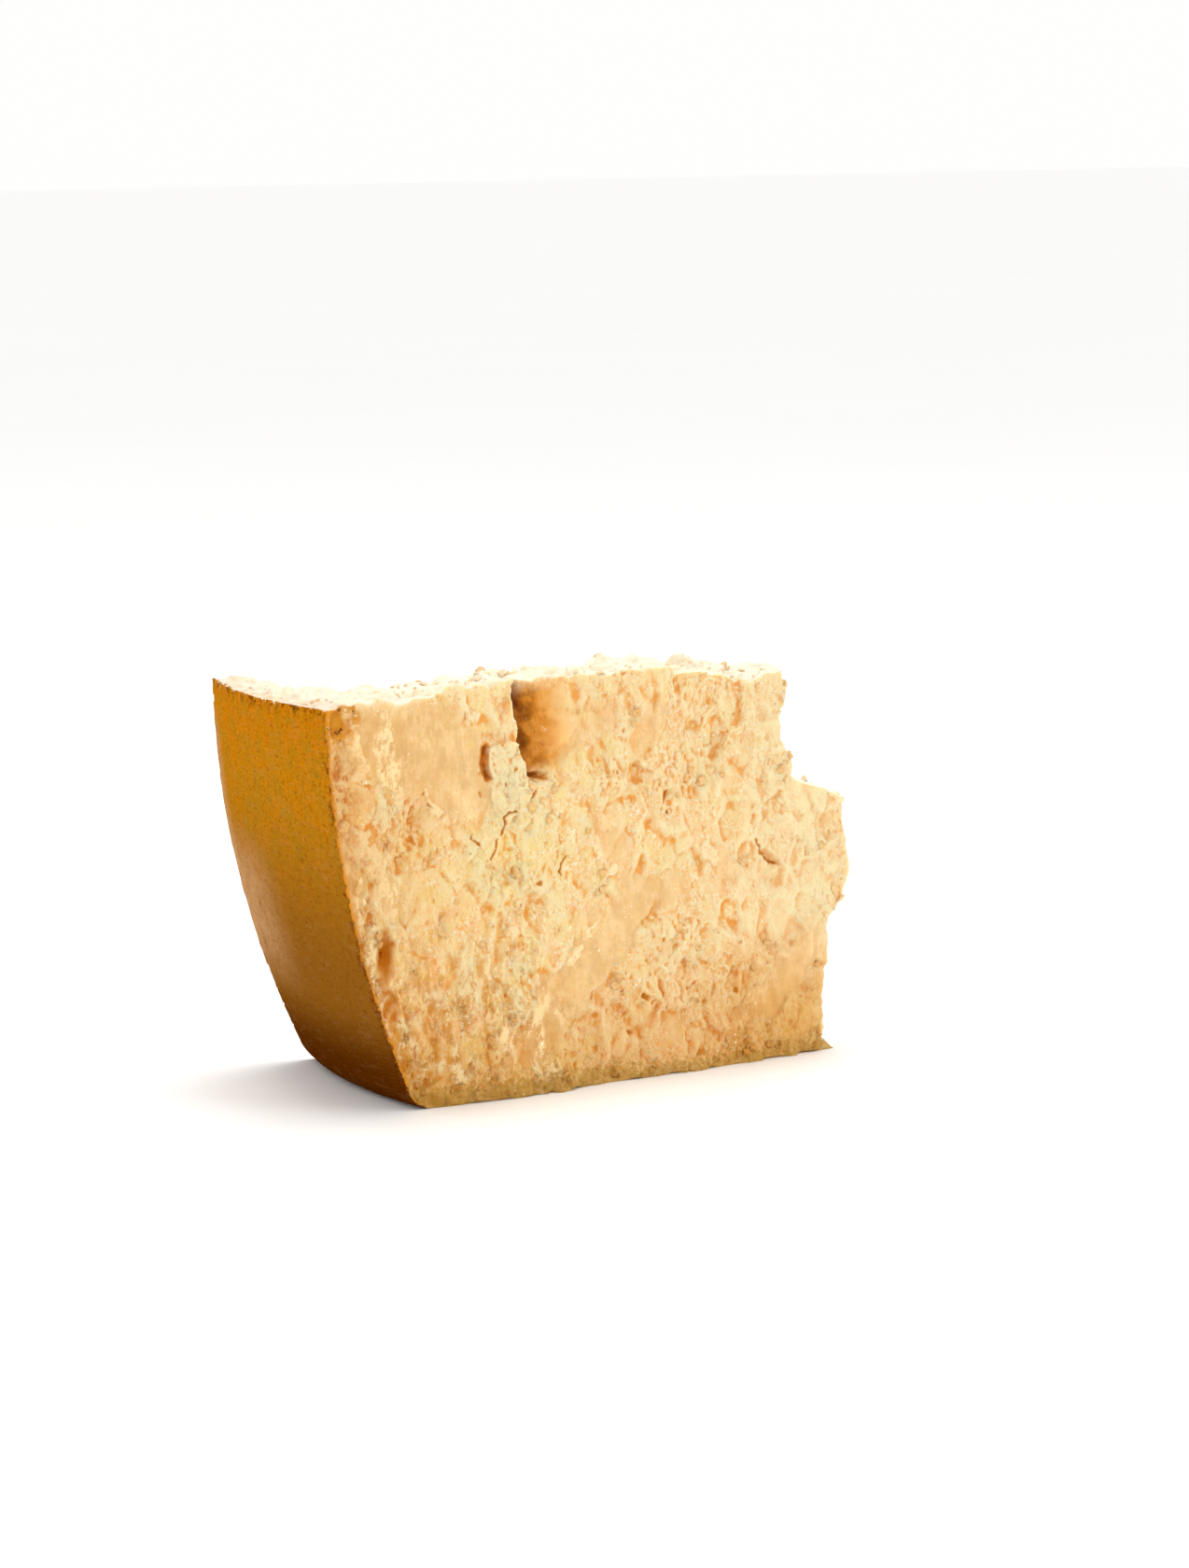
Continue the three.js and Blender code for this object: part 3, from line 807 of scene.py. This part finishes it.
CRUMB_COUNT = 1700
CRUMB_HALF_SIZE = (0.4, 1.7)   # mm
CRUMB_RARITY = 5.0             # the higher, the fewer large ones
CRUMB_DETAIL = 0.7             # half size from which a crumb gets more facets
CRUMB_BOXY = 0.8               # power that makes a ball boxy
CRUMB_JITTER = 0.4             # how far its corners stray, as a share of its size
CRUMB_WIDTH = (0.55, 0.9)      # width and thickness against the half length
CRUMB_THICKNESS = (0.4, 0.7)
CRUMB_TILT = 0.3               # how far it leans, in radians
CRUMB_SEED = 7
CRUMB_ROUNDS = 3               # rounds of smoothing of the direction that they face
# Where more of them cling: how many more, and the ranges in mm over which that fades.
FOOT_CRUMBS = dict(gain=5, z=(3, 9))
KNIFE_CRUMBS = dict(gain=3, at=(78, 92), reach=(5, 22))
LOW_CRUMBS = dict(gain=3, z=(16, 44), inward=(50, 96))
UNEVEN_CRUMBS = dict(gain=2, recess=(0.03, 0.15))
CRUMB_BARE = 0.97              # share of them that is missing where the break is smooth
CRUMB_CLUSTERS = (6.0, 161)    # size and seed of the zones where they gather
CLUSTER_FROM = (-0.3, 0.6)     # swellings between which such a zone begins
CLUSTER_LEAST = 0.1            # how readily they cling elsewhere, against 1.1 in a zone
CRUMB_INSIDE, CRUMB_ABOVE = (1.5, 4.0), (0.8, 1.5)  # mm inside the rind and above the floor
CRUMB_HOLD = (-0.5, -0.1)      # how far upward a place has to face for them to hold
CRUMB_CREST = -0.06            # their recess, because they are coloured as low crests are, with the crests' painted highlight
CRUMB_UPWARD = 0.88            # share of the surface's own, so that those on the top get less of the top's painted light
MARKS = ("depth", "arc", "inward", "clean", "shade_and_dried", "pale", "fresh", "front", "upward")


def mark_values(mesh, name):
    values = np.empty(len(mesh.vertices), np.float32)
    mesh.attributes[name].data.foreach_get("value", values)
    return values


def crumb_chances(points, facing, uneven):
    """How readily a crumb clings at each point of the wedge."""
    inward, z, front = inward_of(points), points[:, 2], front_share(facing)
    foot = FOOT_CRUMBS["gain"] * falling(z, *FOOT_CRUMBS["z"])
    knife_inward, knife_z = KNIFE_CRUMBS["at"]
    from_knife = np.hypot(inward - knife_inward, z - knife_z)
    by_knife = KNIFE_CRUMBS["gain"] * falling(from_knife, *KNIFE_CRUMBS["reach"])
    low = LOW_CRUMBS["gain"] * falling(z, *LOW_CRUMBS["z"]) * falling(inward, *LOW_CRUMBS["inward"])
    rough = UNEVEN_CRUMBS["gain"] * rising(uneven, *UNEVEN_CRUMBS["recess"])
    smooth = np.maximum(hollow_share(inward, z), clean_share(inward, z))
    chances = (1.0 + foot + (by_knife + low) * front) * rising(under_rind(points), *CRUMB_INSIDE)
    chances *= (1.0 - CRUMB_BARE * smooth * front) * (1.0 + rough)
    chances *= CLUSTER_LEAST + rising(cloud(points, *CRUMB_CLUSTERS), *CLUSTER_FROM)
    return chances * rising(facing[:, 2], *CRUMB_HOLD) * rising(z, *CRUMB_ABOVE)


def crumb_shape(detail):
    """Points and triangles of a boxy ball."""
    ball = bmesh.new()
    bmesh.ops.create_icosphere(ball, subdivisions=detail, radius=1.0)
    points = np.array([vertex.co[:] for vertex in ball.verts])
    faces = np.array([[vertex.index for vertex in face.verts] for face in ball.faces])
    ball.free()
    return np.sign(points) * np.abs(points) ** CRUMB_BOXY, faces


def build_crumbs(mesh):
    points, triangles = mesh_arrays(mesh)
    normals = vertex_normals(points, triangles)
    facing = unit(smoothed(normals, edges_of(triangles), CRUMB_ROUNDS))
    chances = crumb_chances(points, facing, np.abs(mark_values(mesh, "recess")))
    draw = np.random.default_rng(CRUMB_SEED)
    seats = draw.choice(len(points), CRUMB_COUNT, replace=False, p=chances / chances.sum())

    plain, detailed = crumb_shape(1), crumb_shape(2)
    all_points, all_faces, seat_of, tones = [], [], [], []
    count = 0
    for seat in seats:
        half = mix(*CRUMB_HALF_SIZE, draw.random() ** CRUMB_RARITY)
        shape, faces = detailed if half > CRUMB_DETAIL else plain
        lumps = 1.0 + CRUMB_JITTER * (2.0 * draw.random((len(shape), 1)) - 1.0)
        sizes = (1.0, draw.uniform(*CRUMB_WIDTH), draw.uniform(*CRUMB_THICKNESS))
        shape = half * shape * lumps * sizes
        turn = Vector(facing[seat]).to_track_quat("Z", "Y")
        tilt = Euler((*draw.normal(0.0, CRUMB_TILT, 2), draw.uniform(0.0, 2.0 * math.pi)))
        turn = np.array((turn @ tilt.to_quaternion()).to_matrix())
        all_points.append(points[seat] + shape @ turn.T)
        all_faces.append(faces + count)
        seat_of += [seat] * len(shape)
        tones += [draw.random()] * len(shape)
        count += len(shape)
    faces = np.concatenate(all_faces).tolist()
    made = new_object("clinging_crumbs", np.concatenate(all_points), faces)
    keep_in_box(made.data)
    made.data.set_sharp_from_angle(angle=math.radians(CRISP_ANGLE))
    for name in MARKS:
        values = mark_values(mesh, name)[seat_of]
        set_attribute(made.data, name, values * CRUMB_UPWARD if name == "upward" else values)
    set_attribute(made.data, "recess", np.full(count, CRUMB_CREST))
    set_attribute(made.data, "tone", np.array(tones))
    return made


wedge = build_wedge()
mark_surface(wedge.data)
crumbs = build_crumbs(wedge.data)
for piece in (wedge, crumbs):
    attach(piece, "root")
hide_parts("wedge")


# ---- Materials ----

def linear(red, green, blue):
    """An sRGB colour of 0 to 255 as the linear RGBA that the shader takes."""
    def channel(value):
        value /= 255.0
        return value / 12.92 if value <= 0.04045 else ((value + 0.055) / 1.055) ** 2.4
    return (channel(red), channel(green), channel(blue), 1.0)


class Paint:
    """A procedural material, with short ways to add nodes to it. Sizes are in millimetres."""

    def __init__(self, name):
        self.material = bpy.data.materials.new(name)
        self.material.use_nodes = True
        self.tree = self.material.node_tree
        self.shader = self.tree.nodes["Principled BSDF"]
        self.place = self.add("ShaderNodeTexCoord").outputs["Object"]
        _, _, height = self.add("ShaderNodeSeparateXYZ", {0: self.place}).outputs
        self.height = self.times(height, 1.0 / MM)

    def add(self, kind, inputs=None, **settings):
        node = self.tree.nodes.new(kind)
        for name, value in settings.items():
            setattr(node, name, value)
        for key, value in (inputs or {}).items():
            self.feed(node.inputs[key], value)
        return node

    def feed(self, socket, value):
        if isinstance(value, bpy.types.NodeSocket):
            self.tree.links.new(value, socket)
        else:
            socket.default_value = value

    def mark(self, name):
        """One of the values that mark_surface has stored."""
        return self.add("ShaderNodeAttribute", attribute_name=name).outputs["Fac"]

    def maths(self, operation, first, second=0.0):
        return self.add("ShaderNodeMath", {0: first, 1: second}, operation=operation).outputs[0]

    def times(self, *values):
        return reduce(partial(self.maths, "MULTIPLY"), values)

    def plus(self, *values):
        return reduce(partial(self.maths, "ADD"), values)

    def most(self, *values):
        return reduce(partial(self.maths, "MAXIMUM"), values)

    def ease(self, value, start, end, low=0.0, high=1.0):
        """A smooth step of value, from low at start to high at end."""
        inputs = {"Value": value, "From Min": start, "From Max": end, "To Min": low, "To Max": high}
        return self.add("ShaderNodeMapRange", inputs, interpolation_type="SMOOTHSTEP").outputs[0]

    def noise(self, size, detail=2.0, roughness=0.5, shift=0.0, tall=1.0, wide=1.0):
        """Random swelling round 0.5, its spots that much taller or wider than size."""
        inputs = {"Vector": self.place, "Location": (shift, shift, shift),
                  "Scale": [1.0 / (MM * size * part) for part in (wide, wide, tall)]}
        place = self.add("ShaderNodeMapping", inputs).outputs[0]
        inputs = {"Vector": place, "Scale": 1.0, "Detail": detail, "Roughness": roughness}
        return self.add("ShaderNodeTexNoise", inputs).outputs["Fac"]

    def over(self, colour, other, *shares, mode="MIX"):
        """colour with another one laid over it, as far as the product of the shares says."""
        node = self.add("ShaderNodeMix", data_type="RGBA", blend_type=mode)
        sockets = {socket.identifier: socket for socket in node.inputs}
        self.feed(sockets["Factor_Float"], self.times(*shares))
        self.feed(sockets["A_Color"], colour)
        self.feed(sockets["B_Color"], other)
        return next(s for s in node.outputs if s.identifier == "Result_Color")

    def layered(self, colour, layers, mode="MIX"):
        for other, *shares in layers:
            colour = self.over(colour, other, *shares, mode=mode)
        return colour

    def finish(self, colour, roughness, height, **constants):
        """Joins the colour, roughness and bump height in mm to the shader."""
        bump = self.add("ShaderNodeBump", {"Height": height, "Distance": MM, "Strength": 1.0})
        self.feed(self.shader.inputs["Base Color"], colour)
        self.feed(self.shader.inputs["Roughness"], roughness)
        self.feed(self.shader.inputs["Normal"], bump.outputs[0])
        for name, value in constants.items():
            self.feed(self.shader.inputs[name.replace("_", " ")], value)
        return self.material


PASTE = linear(250, 218, 160)
PASTE_PALE = linear(254, 232, 188)
PASTE_PEACH = linear(250, 209, 153)
PASTE_YELLOW = linear(248, 222, 148)
PASTE_SPECK = linear(246, 170, 72)
# painted light: the near-white of the brightly lit top
PASTE_TOP_LIGHT = linear(255, 248, 232)
CRYSTAL = linear(255, 248, 226)
FROST = linear(255, 231, 180)
# painted shade: warm orange in the crevices and on steep slopes
CREVICE_SHADE = linear(242, 160, 46)
SLOPE_SHADE = linear(252, 190, 106)
SMOOTH_FACET = linear(221, 182, 125)
WARM_TINT_AND_SHADE = linear(228, 196, 132)    # multiplies the paste's colours: the tan band beside the rind, and painted shade low down, on the rind side and low at the thin end
CRUMB_SHADE_TINT = linear(255, 238, 214)   # multiplies the crumbs' colours, a painted warm shade, as no light passes through them
STAIN = linear(208, 138, 36)
# the band along the foot: a darker layer of its own, darkened further as painted shade
FOOT_BAND_AND_SHADE = linear(182, 136, 50)
FOOT_PALE = linear(206, 160, 84)
# painted shade in the knife's hollow and slit, from deep to faint
HOLLOW_DEEP_SHADE = linear(122, 52, 0)
HOLLOW_SHADE = linear(232, 154, 46)
HOLLOW_FAINT_SHADE = linear(250, 196, 118)
# painted shade in the cracks, pits and the gap beside the raised flake
CRACK_SHADE = linear(212, 132, 24)
DRIED = linear(188, 106, 0)
RIND_GOLD = linear(190, 120, 6)
RIND_ORANGE = linear(202, 118, 6)
RIND_OLIVE = linear(176, 122, 20)
# browner rind towards the foot, partly its own colour and partly painted shade; also the print's
# threads and dark flecks
RIND_BROWN_AND_SHADE = linear(140, 88, 22)
RIND_FOOT_SHADE_AND_FLECKS = linear(90, 42, 1)
RIND_BURNT = linear(112, 54, 4)
RIND_LINE = linear(214, 138, 22)     # the paste's first millimetres inside the rind
LOBE = linear(220, 148, 30)          # the golden corner at the top of that line
# a painted sheen on the rind, which also gives it faint pale streaks
RIND_SHEEN_AND_BLOOM = linear(198, 152, 106)
RIND_FLECK = linear(212, 148, 50)
RIND_THICKNESS = 0.9                 # mm, the depth within which faces get the rind's material
RIND_WEAVE = (2.4, 1.3)              # pitch of the mould cloth's print, along and up, mm
UNDERSIDE = (-0.6, -0.85)            # how far upward a place faces where the foot's rind begins

# The layers of a colour are the colours laid over it, one after the other, each with its shares.
# ease takes the noise values, heights, inward distances or depths in mm between which a change
# comes in, and then the two shares, where these aren't 0 and 1. noise takes the size of its spots
# in mm, its detail and roughness, and a shift that sets it apart from the others.


def fine_grit(paint):
    """The finest grain, which the paste's specks and its bump have in common."""
    return paint.noise(0.9, 4, 0.75, 11, tall=1.3)


def paste_colour(paint, grain):
    """The broken cheese: mottled grains, with painted orange shade in crevices, on slopes and at layer
    feet, and a painted highlight on crests and layer rims.
    """
    ease, noise, mark = paint.ease, paint.noise, paint.mark
    yellow = paint.times(ease(noise(6.5, 3, 0.6, 41), 0.4, 0.6),
                         ease(mark("inward"), 135, 85, 0.15, 0.75))
    yellow = paint.most(yellow, paint.times(mark("fresh"), 0.8))
    specks, recess = fine_grit(paint), mark("recess")
    grainy = ease(noise(6, shift=13), 0.38, 0.6, 0.25, 1)
    return paint.layered(PASTE, [
        (PASTE_PEACH, ease(noise(17), 0.4, 0.6)),
        (PASTE_YELLOW, yellow),
        (PASTE_PALE, ease(noise(4.2, 3, 0.6, 3, tall=1.6), 0.45, 0.68), 0.6),
        # painted highlight on the rims of the finest layers and painted shade at their feet
        (CRYSTAL, grain["rim"], grainy, 0.7),
        (PASTE_SPECK, grain["foot"], grainy, 0.8),
        (CRYSTAL, ease(specks, 0.54, 0.62), grainy, 0.85),
        (PASTE_SPECK, ease(specks, 0.46, 0.38), grainy, 0.7),
        # painted shade in the valleys, on steep slopes and in the recesses, and a painted highlight on
        # the crests
        (CREVICE_SHADE, ease(mark("valley"), 0.2, 1.5), 0.2),
        (SLOPE_SHADE, ease(mark("steep"), 0.03, 0.3), 0.5),
        (CREVICE_SHADE, ease(recess, 0.03, 0.32), 0.8),
        (PASTE_PALE, ease(recess, -0.04, -0.2), 0.5),
        (PASTE_PALE, ease(mark("tone"), 0.6, 1), 0.8),
    ])


def place_colour(paint, colour):
    """The paste's changes over the wedge: facets, knife's mark, beside the rind and the foot, with
    painted light and shade.
    """
    ease, noise, mark = paint.ease, paint.noise, paint.mark
    clean, inward, height = mark("clean"), mark("inward"), paint.height
    mottle = noise(5, 3, 0.6)
    streaks = ease(noise(2.2, 4, 0.7, 16, tall=4), 0.5, 0.7, 0, 0.35)
    mottled = ease(noise(1.2, 3, 0.7, 71), 0.4, 0.6, 0.35, 0.85)
    colour = paint.layered(colour, [
        (SMOOTH_FACET, clean, ease(mottle, 0.3, 0.7, 0.95, 0.55)),
        (PASTE_PALE, streaks, clean, ease(height, 80, 95)),
        (PASTE_PALE, mark("pale"), mottled, ease(mark("recess"), 0.35, 0.1)),
        # painted light: paler towards the thin end
        (PASTE_PALE, ease(inward, 140, 175), 0.45),
    ])

    uneven = ease(mottle, 0.3, 0.7, -1, 1)
    frayed_depth = paint.plus(mark("depth"), paint.times(uneven, 3))
    frayed_height = paint.plus(height, paint.times(uneven, 4))
    # painted shade: darker towards the foot, towards the rind side and low at the thin end
    low = ease(frayed_height, 46, 6, 0, 0.6)
    near = ease(inward, 64, 10, 0, 0.45)
    far = paint.times(ease(inward, 126, 150, 0, 0.3), ease(frayed_height, 46, 30))
    painted_shade = paint.times(paint.plus(low, near, far), mark("front"))
    beside_rind = ease(frayed_depth, 11, 7, 0, 0.5)
    colour = paint.layered(colour, [(WARM_TINT_AND_SHADE, beside_rind), (WARM_TINT_AND_SHADE, painted_shade)], "MULTIPLY")

    stained = ease(noise(4, 5, 0.75, 61, tall=2), 0.47, 0.6)
    burnt = ease(noise(2.4, 3, 0.7, 55), 0.6, 0.66)
    # the painted shade of the hollow pales away from its step; inward of 40 to 50 mm the dried dent has
    # its own amber
    paling = paint.plus(inward, paint.times(uneven, 3))
    shade_and_dried = paint.layered(HOLLOW_DEEP_SHADE, [(HOLLOW_SHADE, ease(paling, 69, 81)),
                                       (HOLLOW_FAINT_SHADE, ease(paling, 76, 88))])
    shade_and_dried = paint.over(DRIED, shade_and_dried, ease(inward, 40, 50))
    ragged_edge = ease(noise(1.8, 5, 0.75, 81), 0.3, 0.7, -3.5, 3.5)
    foot_top = ease(inward, 60, 130, 8.5, 6)
    above_foot = paint.maths("SUBTRACT", paint.plus(height, ragged_edge), foot_top)
    return paint.layered(colour, [
        (STAIN, stained, ease(height, 62, 32), mark("front"), ease(inward, 100, 45), 0.7),
        (FROST, frost_share(paint), 0.7),
        (RIND_LINE, ease(mark("depth"), 2.8, 0.9)),
        (paint.over(LOBE, RIND_BURNT, burnt), ease(frayed_depth, 11, 7.5),
         ease(frayed_height, 110.5, 114), 0.9),
        # painted shade in the hollow and slit, and the dried dent's own colour
        (shade_and_dried, mark("shade_and_dried")),
        # painted shade in the cracks and pits
        (CRACK_SHADE, ease(mark("cracked"), 0.05, 0.7), 0.85),
        # painted light: upward faces near white
        (PASTE_TOP_LIGHT, ease(mark("upward"), 0.55, 0.85), 0.65),
        # the foot's band, its darkness partly painted shade
        (paint.over(FOOT_BAND_AND_SHADE, FOOT_PALE, ease(noise(2.6, 4, 0.7, 91), 0.42, 0.62)),
         ease(above_foot, 0.5, -5), 0.85),
    ])


def frost_share(paint):
    """Ragged whitish patches where the break tore the paste open, most of them near the rind."""
    ease, noise, inward = paint.ease, paint.noise, paint.mark("inward")
    patches = ease(noise(3.4, 6, 0.8, 21, tall=1.7), 0.47, 0.53)
    groups = ease(noise(9, shift=22, tall=1.6), 0.42, 0.56)
    beside_rind = paint.times(ease(inward, 8, 13), ease(inward, 32, 22))
    low = paint.times(ease(paint.height, 56, 34), ease(inward, 92, 70))
    near = paint.most(beside_rind, ease(paint.mark("fresh"), 0.5, 1), low)
    return paint.times(patches, groups, ease(near, 0, 1, 0.3, 1), ease(paint.mark("shade_and_dried"), 0.3, 0))


def rind_colour(paint):
    """Oiled ochre rind with a painted sheen, browner towards the foot, partly as painted shade, burnt
    in spots along its upper edge.
    """
    ease, noise, height, arc = paint.ease, paint.noise, paint.height, paint.mark("arc")
    flecks = noise(1.1, 3, 0.7, 24, wide=1.6)
    cloudy = ease(noise(5, 4, 0.7), 0.2, 0.6, 0.35, 1)
    corners = paint.most(ease(arc, 3, 0.5), ease(arc, 93.5, 97))
    corners = paint.times(corners, ease(noise(7, shift=17), 0.5, 0.6))
    return paint.layered(RIND_GOLD, [
        (RIND_OLIVE, ease(noise(9, 5, 0.7), 0.4, 0.58)),
        (RIND_ORANGE, ease(height, 88, 120, 0.15, 0.85), ease(noise(5, 4, 0.7, 19), 0.4, 0.6)),
        (RIND_FLECK, ease(flecks, 0.55, 0.68), 0.45),
        # darker towards the foot: partly the rind's own colour, partly painted shade
        (RIND_BROWN_AND_SHADE, ease(height, 104, 38)),
        (RIND_FOOT_SHADE_AND_FLECKS, ease(height, 34, 8)),
        # painted sheen low on the rind and along its far upright edge; the last layer is faint pale
        # streaks
        (RIND_SHEEN_AND_BLOOM, ease(arc, 40, 78), ease(height, 24, 48), ease(height, 84, 60), cloudy, 0.75),
        (RIND_SHEEN_AND_BLOOM, ease(arc, 84, 97), ease(height, 119, 100), ease(height, 20, 50), 0.6),
        (RIND_SHEEN_AND_BLOOM, ease(noise(7, 4, 0.7, 9, tall=0.3), 0.5, 0.7), 0.1),
        (RIND_FOOT_SHADE_AND_FLECKS, ease(flecks, 0.46, 0.34), 0.4),
        (RIND_BURNT, ease(noise(3, 3, 0.7, 5), 0.5, 0.6),
         paint.most(ease(height, 118, 122), corners), 0.9),
    ])


def weave(paint):
    """The mould cloth's print: 1 on a thread's crossing, -1 in the gaps."""
    wobble = paint.ease(paint.noise(11, shift=4), 0.2, 0.8, -1.6, 1.6)

    def threads(place, pitch):
        turns = paint.times(place, 2.0 * math.pi / pitch)
        return paint.maths("SINE", paint.plus(turns, wobble))

    upright = threads(paint.mark("arc"), RIND_WEAVE[0])
    level = threads(paint.height, RIND_WEAVE[1])
    return paint.times(paint.plus(paint.times(upright, 0.4), paint.times(level, 0.6)),
                       paint.ease(paint.noise(4, 4, 0.7, 8), 0.4, 0.6))


def grains(paint):
    """The finest torn layers: which one each place lies on, and how near its edge."""
    level = paint.times(paint.noise(4.4, 6, 0.68, 31, tall=1.4), 15)
    whole = paint.maths("FLOOR", level)
    within = paint.maths("SUBTRACT", level, whole)
    return {"layer": whole, "rim": paint.ease(within, 0.22, 0), "foot": paint.ease(within, 0.72, 1)}


def cheese_material(name, tint=None, **constants):
    """One network for the whole wedge, so that the rind and the paste meet without a seam."""
    paint = Paint(name)
    clean, threads, grain = paint.mark("clean"), weave(paint), grains(paint)
    rind = paint.over(rind_colour(paint), RIND_BROWN_AND_SHADE, paint.ease(threads, 0, 1), 0.3)
    paste = place_colour(paint, paste_colour(paint, grain))
    specks = paint.ease(paint.noise(1.6, 2, 0.8, 7), 0.66, 0.72)
    paste = paint.over(paste, CRYSTAL, specks, paint.ease(paint.noise(9, shift=6), 0.5, 0.62))
    # The rind's colour ends along a ragged border, between 0.5 and 2 mm deep.
    border = paint.ease(paint.noise(2.2, 5, 0.7, 51), 0.3, 0.7, 0.45, 1.5)
    is_rind = paint.ease(paint.times(paint.mark("depth"), border), 1, 0.7)
    is_rind = paint.most(is_rind, paint.ease(paint.mark("upward"), *UNDERSIDE))
    colour = paint.over(paste, rind, is_rind)
    if tint:
        colour = paint.over(colour, tint, 1.0, mode="MULTIPLY")

    paste_height = paint.plus(paint.times(fine_grit(paint), 0.75), paint.times(grain["layer"], 0.12),
                              paint.times(frost_share(paint), 0.25))
    paste_height = paint.times(paste_height, paint.ease(clean, 0, 1, 0.8, 0.12))
    rind_height = paint.plus(paint.times(threads, 0.05), paint.times(paint.noise(1.4, 3), 0.12))
    height = paint.plus(paint.times(paste_height, paint.maths("SUBTRACT", 1.0, is_rind)),
                        paint.times(rind_height, is_rind))
    rough = paint.ease(paint.noise(2, 3, shift=1), 0.3, 0.7, 0.5, 0.68)
    rough = paint.plus(rough, paint.times(clean, -0.12), paint.times(is_rind, -0.14))
    return paint.finish(colour, rough, height, **constants)


def floor_material():
    paint = Paint("floor")
    colour = paint.over(linear(252, 252, 251), linear(249, 249, 248), paint.noise(400))
    rough = paint.ease(paint.noise(90), 0.3, 0.7, 0.7, 0.8)
    return paint.finish(colour, rough, paint.noise(30, 1))


def dress(piece, *materials):
    for material in materials:
        piece.data.materials.append(material)


def assign_rind(mesh):
    """Gives the rind's faces the second material."""
    points, _ = mesh_arrays(mesh)
    facing = np.array([polygon.normal[2] for polygon in mesh.polygons])
    corners = np.array([polygon.vertices[:] for polygon in mesh.polygons])
    on_rind = (under_rind(points)[corners].max(axis=1) < RIND_THICKNESS) | (facing < UNDERSIDE[1])
    mesh.polygons.foreach_set("material_index", on_rind.astype(np.int32))


paste_material = cheese_material(
    "cheese_paste", Subsurface_Weight=0.7, Subsurface_Scale=0.0022,
    Subsurface_Radius=(0.8, 0.6, 0.35), Specular_IOR_Level=0.1)
dress(wedge, paste_material, cheese_material("cheese_rind", Specular_IOR_Level=0.0))
assign_rind(wedge.data)
# the crumbs get a painted warm shade
dress(crumbs, cheese_material("cheese_crumb", CRUMB_SHADE_TINT, Specular_IOR_Level=0.1))

# ---- Floor, light and camera ----

FLOOR_REACH = 40.0             # m, half the floor's side
WEDGE_MIDDLE = (0, 0, 0.06)    # m, where the lights point

floor_mesh = bpy.data.meshes.new("floor")
floor_corners = [(-FLOOR_REACH, -FLOOR_REACH, 0), (FLOOR_REACH, -FLOOR_REACH, 0),
                 (FLOOR_REACH, FLOOR_REACH, 0), (-FLOOR_REACH, FLOOR_REACH, 0)]
floor_mesh.from_pydata(floor_corners, [], [(0, 1, 2, 3)])
floor = bpy.data.objects.new("floor", floor_mesh)
bpy.context.scene.collection.objects.link(floor)
dress(floor, floor_material())

world = bpy.data.worlds.new("studio")
bpy.context.scene.world = world
world.use_nodes = True
world.node_tree.nodes["Background"].inputs["Color"].default_value = (1.0, 0.995, 0.985, 1.0)
world.node_tree.nodes["Background"].inputs["Strength"].default_value = 1.0


def area_light(name, place, size, power, colour=(1.0, 1.0, 1.0)):
    """A square light that points at the wedge: its side is size, in metres, and its power in watts."""
    data = bpy.data.lights.new(name, "AREA")
    data.size = size
    data.energy = power
    data.color = colour
    light = bpy.data.objects.new(name, data)
    light.location = place
    direction = Vector(WEDGE_MIDDLE) - Vector(place)
    light.rotation_euler = direction.to_track_quat("-Z", "Y").to_euler()
    bpy.context.scene.collection.objects.link(light)


area_light("key", (0.9, -1.1, 1.2), 0.7, 4.0, (1.0, 0.97, 0.92))
area_light("top", (0.05, 0.36, 1.7), 0.8, 11.5)

# The camera stands in front of the rind's end, a little above the wedge, with a slight roll.
CAMERA_PLACE = (-0.5115, -1.3339, 0.283)
CAMERA_AZIMUTH = math.radians(-21.5)
CAMERA_PITCH = math.radians(7.75)
CAMERA_ROLL = math.radians(-1.04)
CAMERA_LENS = 107.14           # mm, before a sensor of 36 mm

camera_data = bpy.data.cameras.new("camera")
camera_data.sensor_width = 36.0
camera_data.lens = CAMERA_LENS
camera_data.clip_start = 0.05
camera = bpy.data.objects.new("camera", camera_data)
forward = Vector((-math.sin(CAMERA_AZIMUTH) * math.cos(CAMERA_PITCH),
                  math.cos(CAMERA_AZIMUTH) * math.cos(CAMERA_PITCH), -math.sin(CAMERA_PITCH)))
level_right = Vector((math.cos(CAMERA_AZIMUTH), math.sin(CAMERA_AZIMUTH), 0.0))
level_up = level_right.cross(forward)
right = level_right * math.cos(CAMERA_ROLL) + level_up * math.sin(CAMERA_ROLL)
up = level_up * math.cos(CAMERA_ROLL) - level_right * math.sin(CAMERA_ROLL)
facing = Matrix((right, up, -forward)).transposed().to_4x4()
camera.matrix_world = Matrix.Translation(CAMERA_PLACE) @ facing
bpy.context.scene.collection.objects.link(camera)
bpy.context.scene.camera = camera
bpy.context.scene.view_settings.view_transform = "Standard"
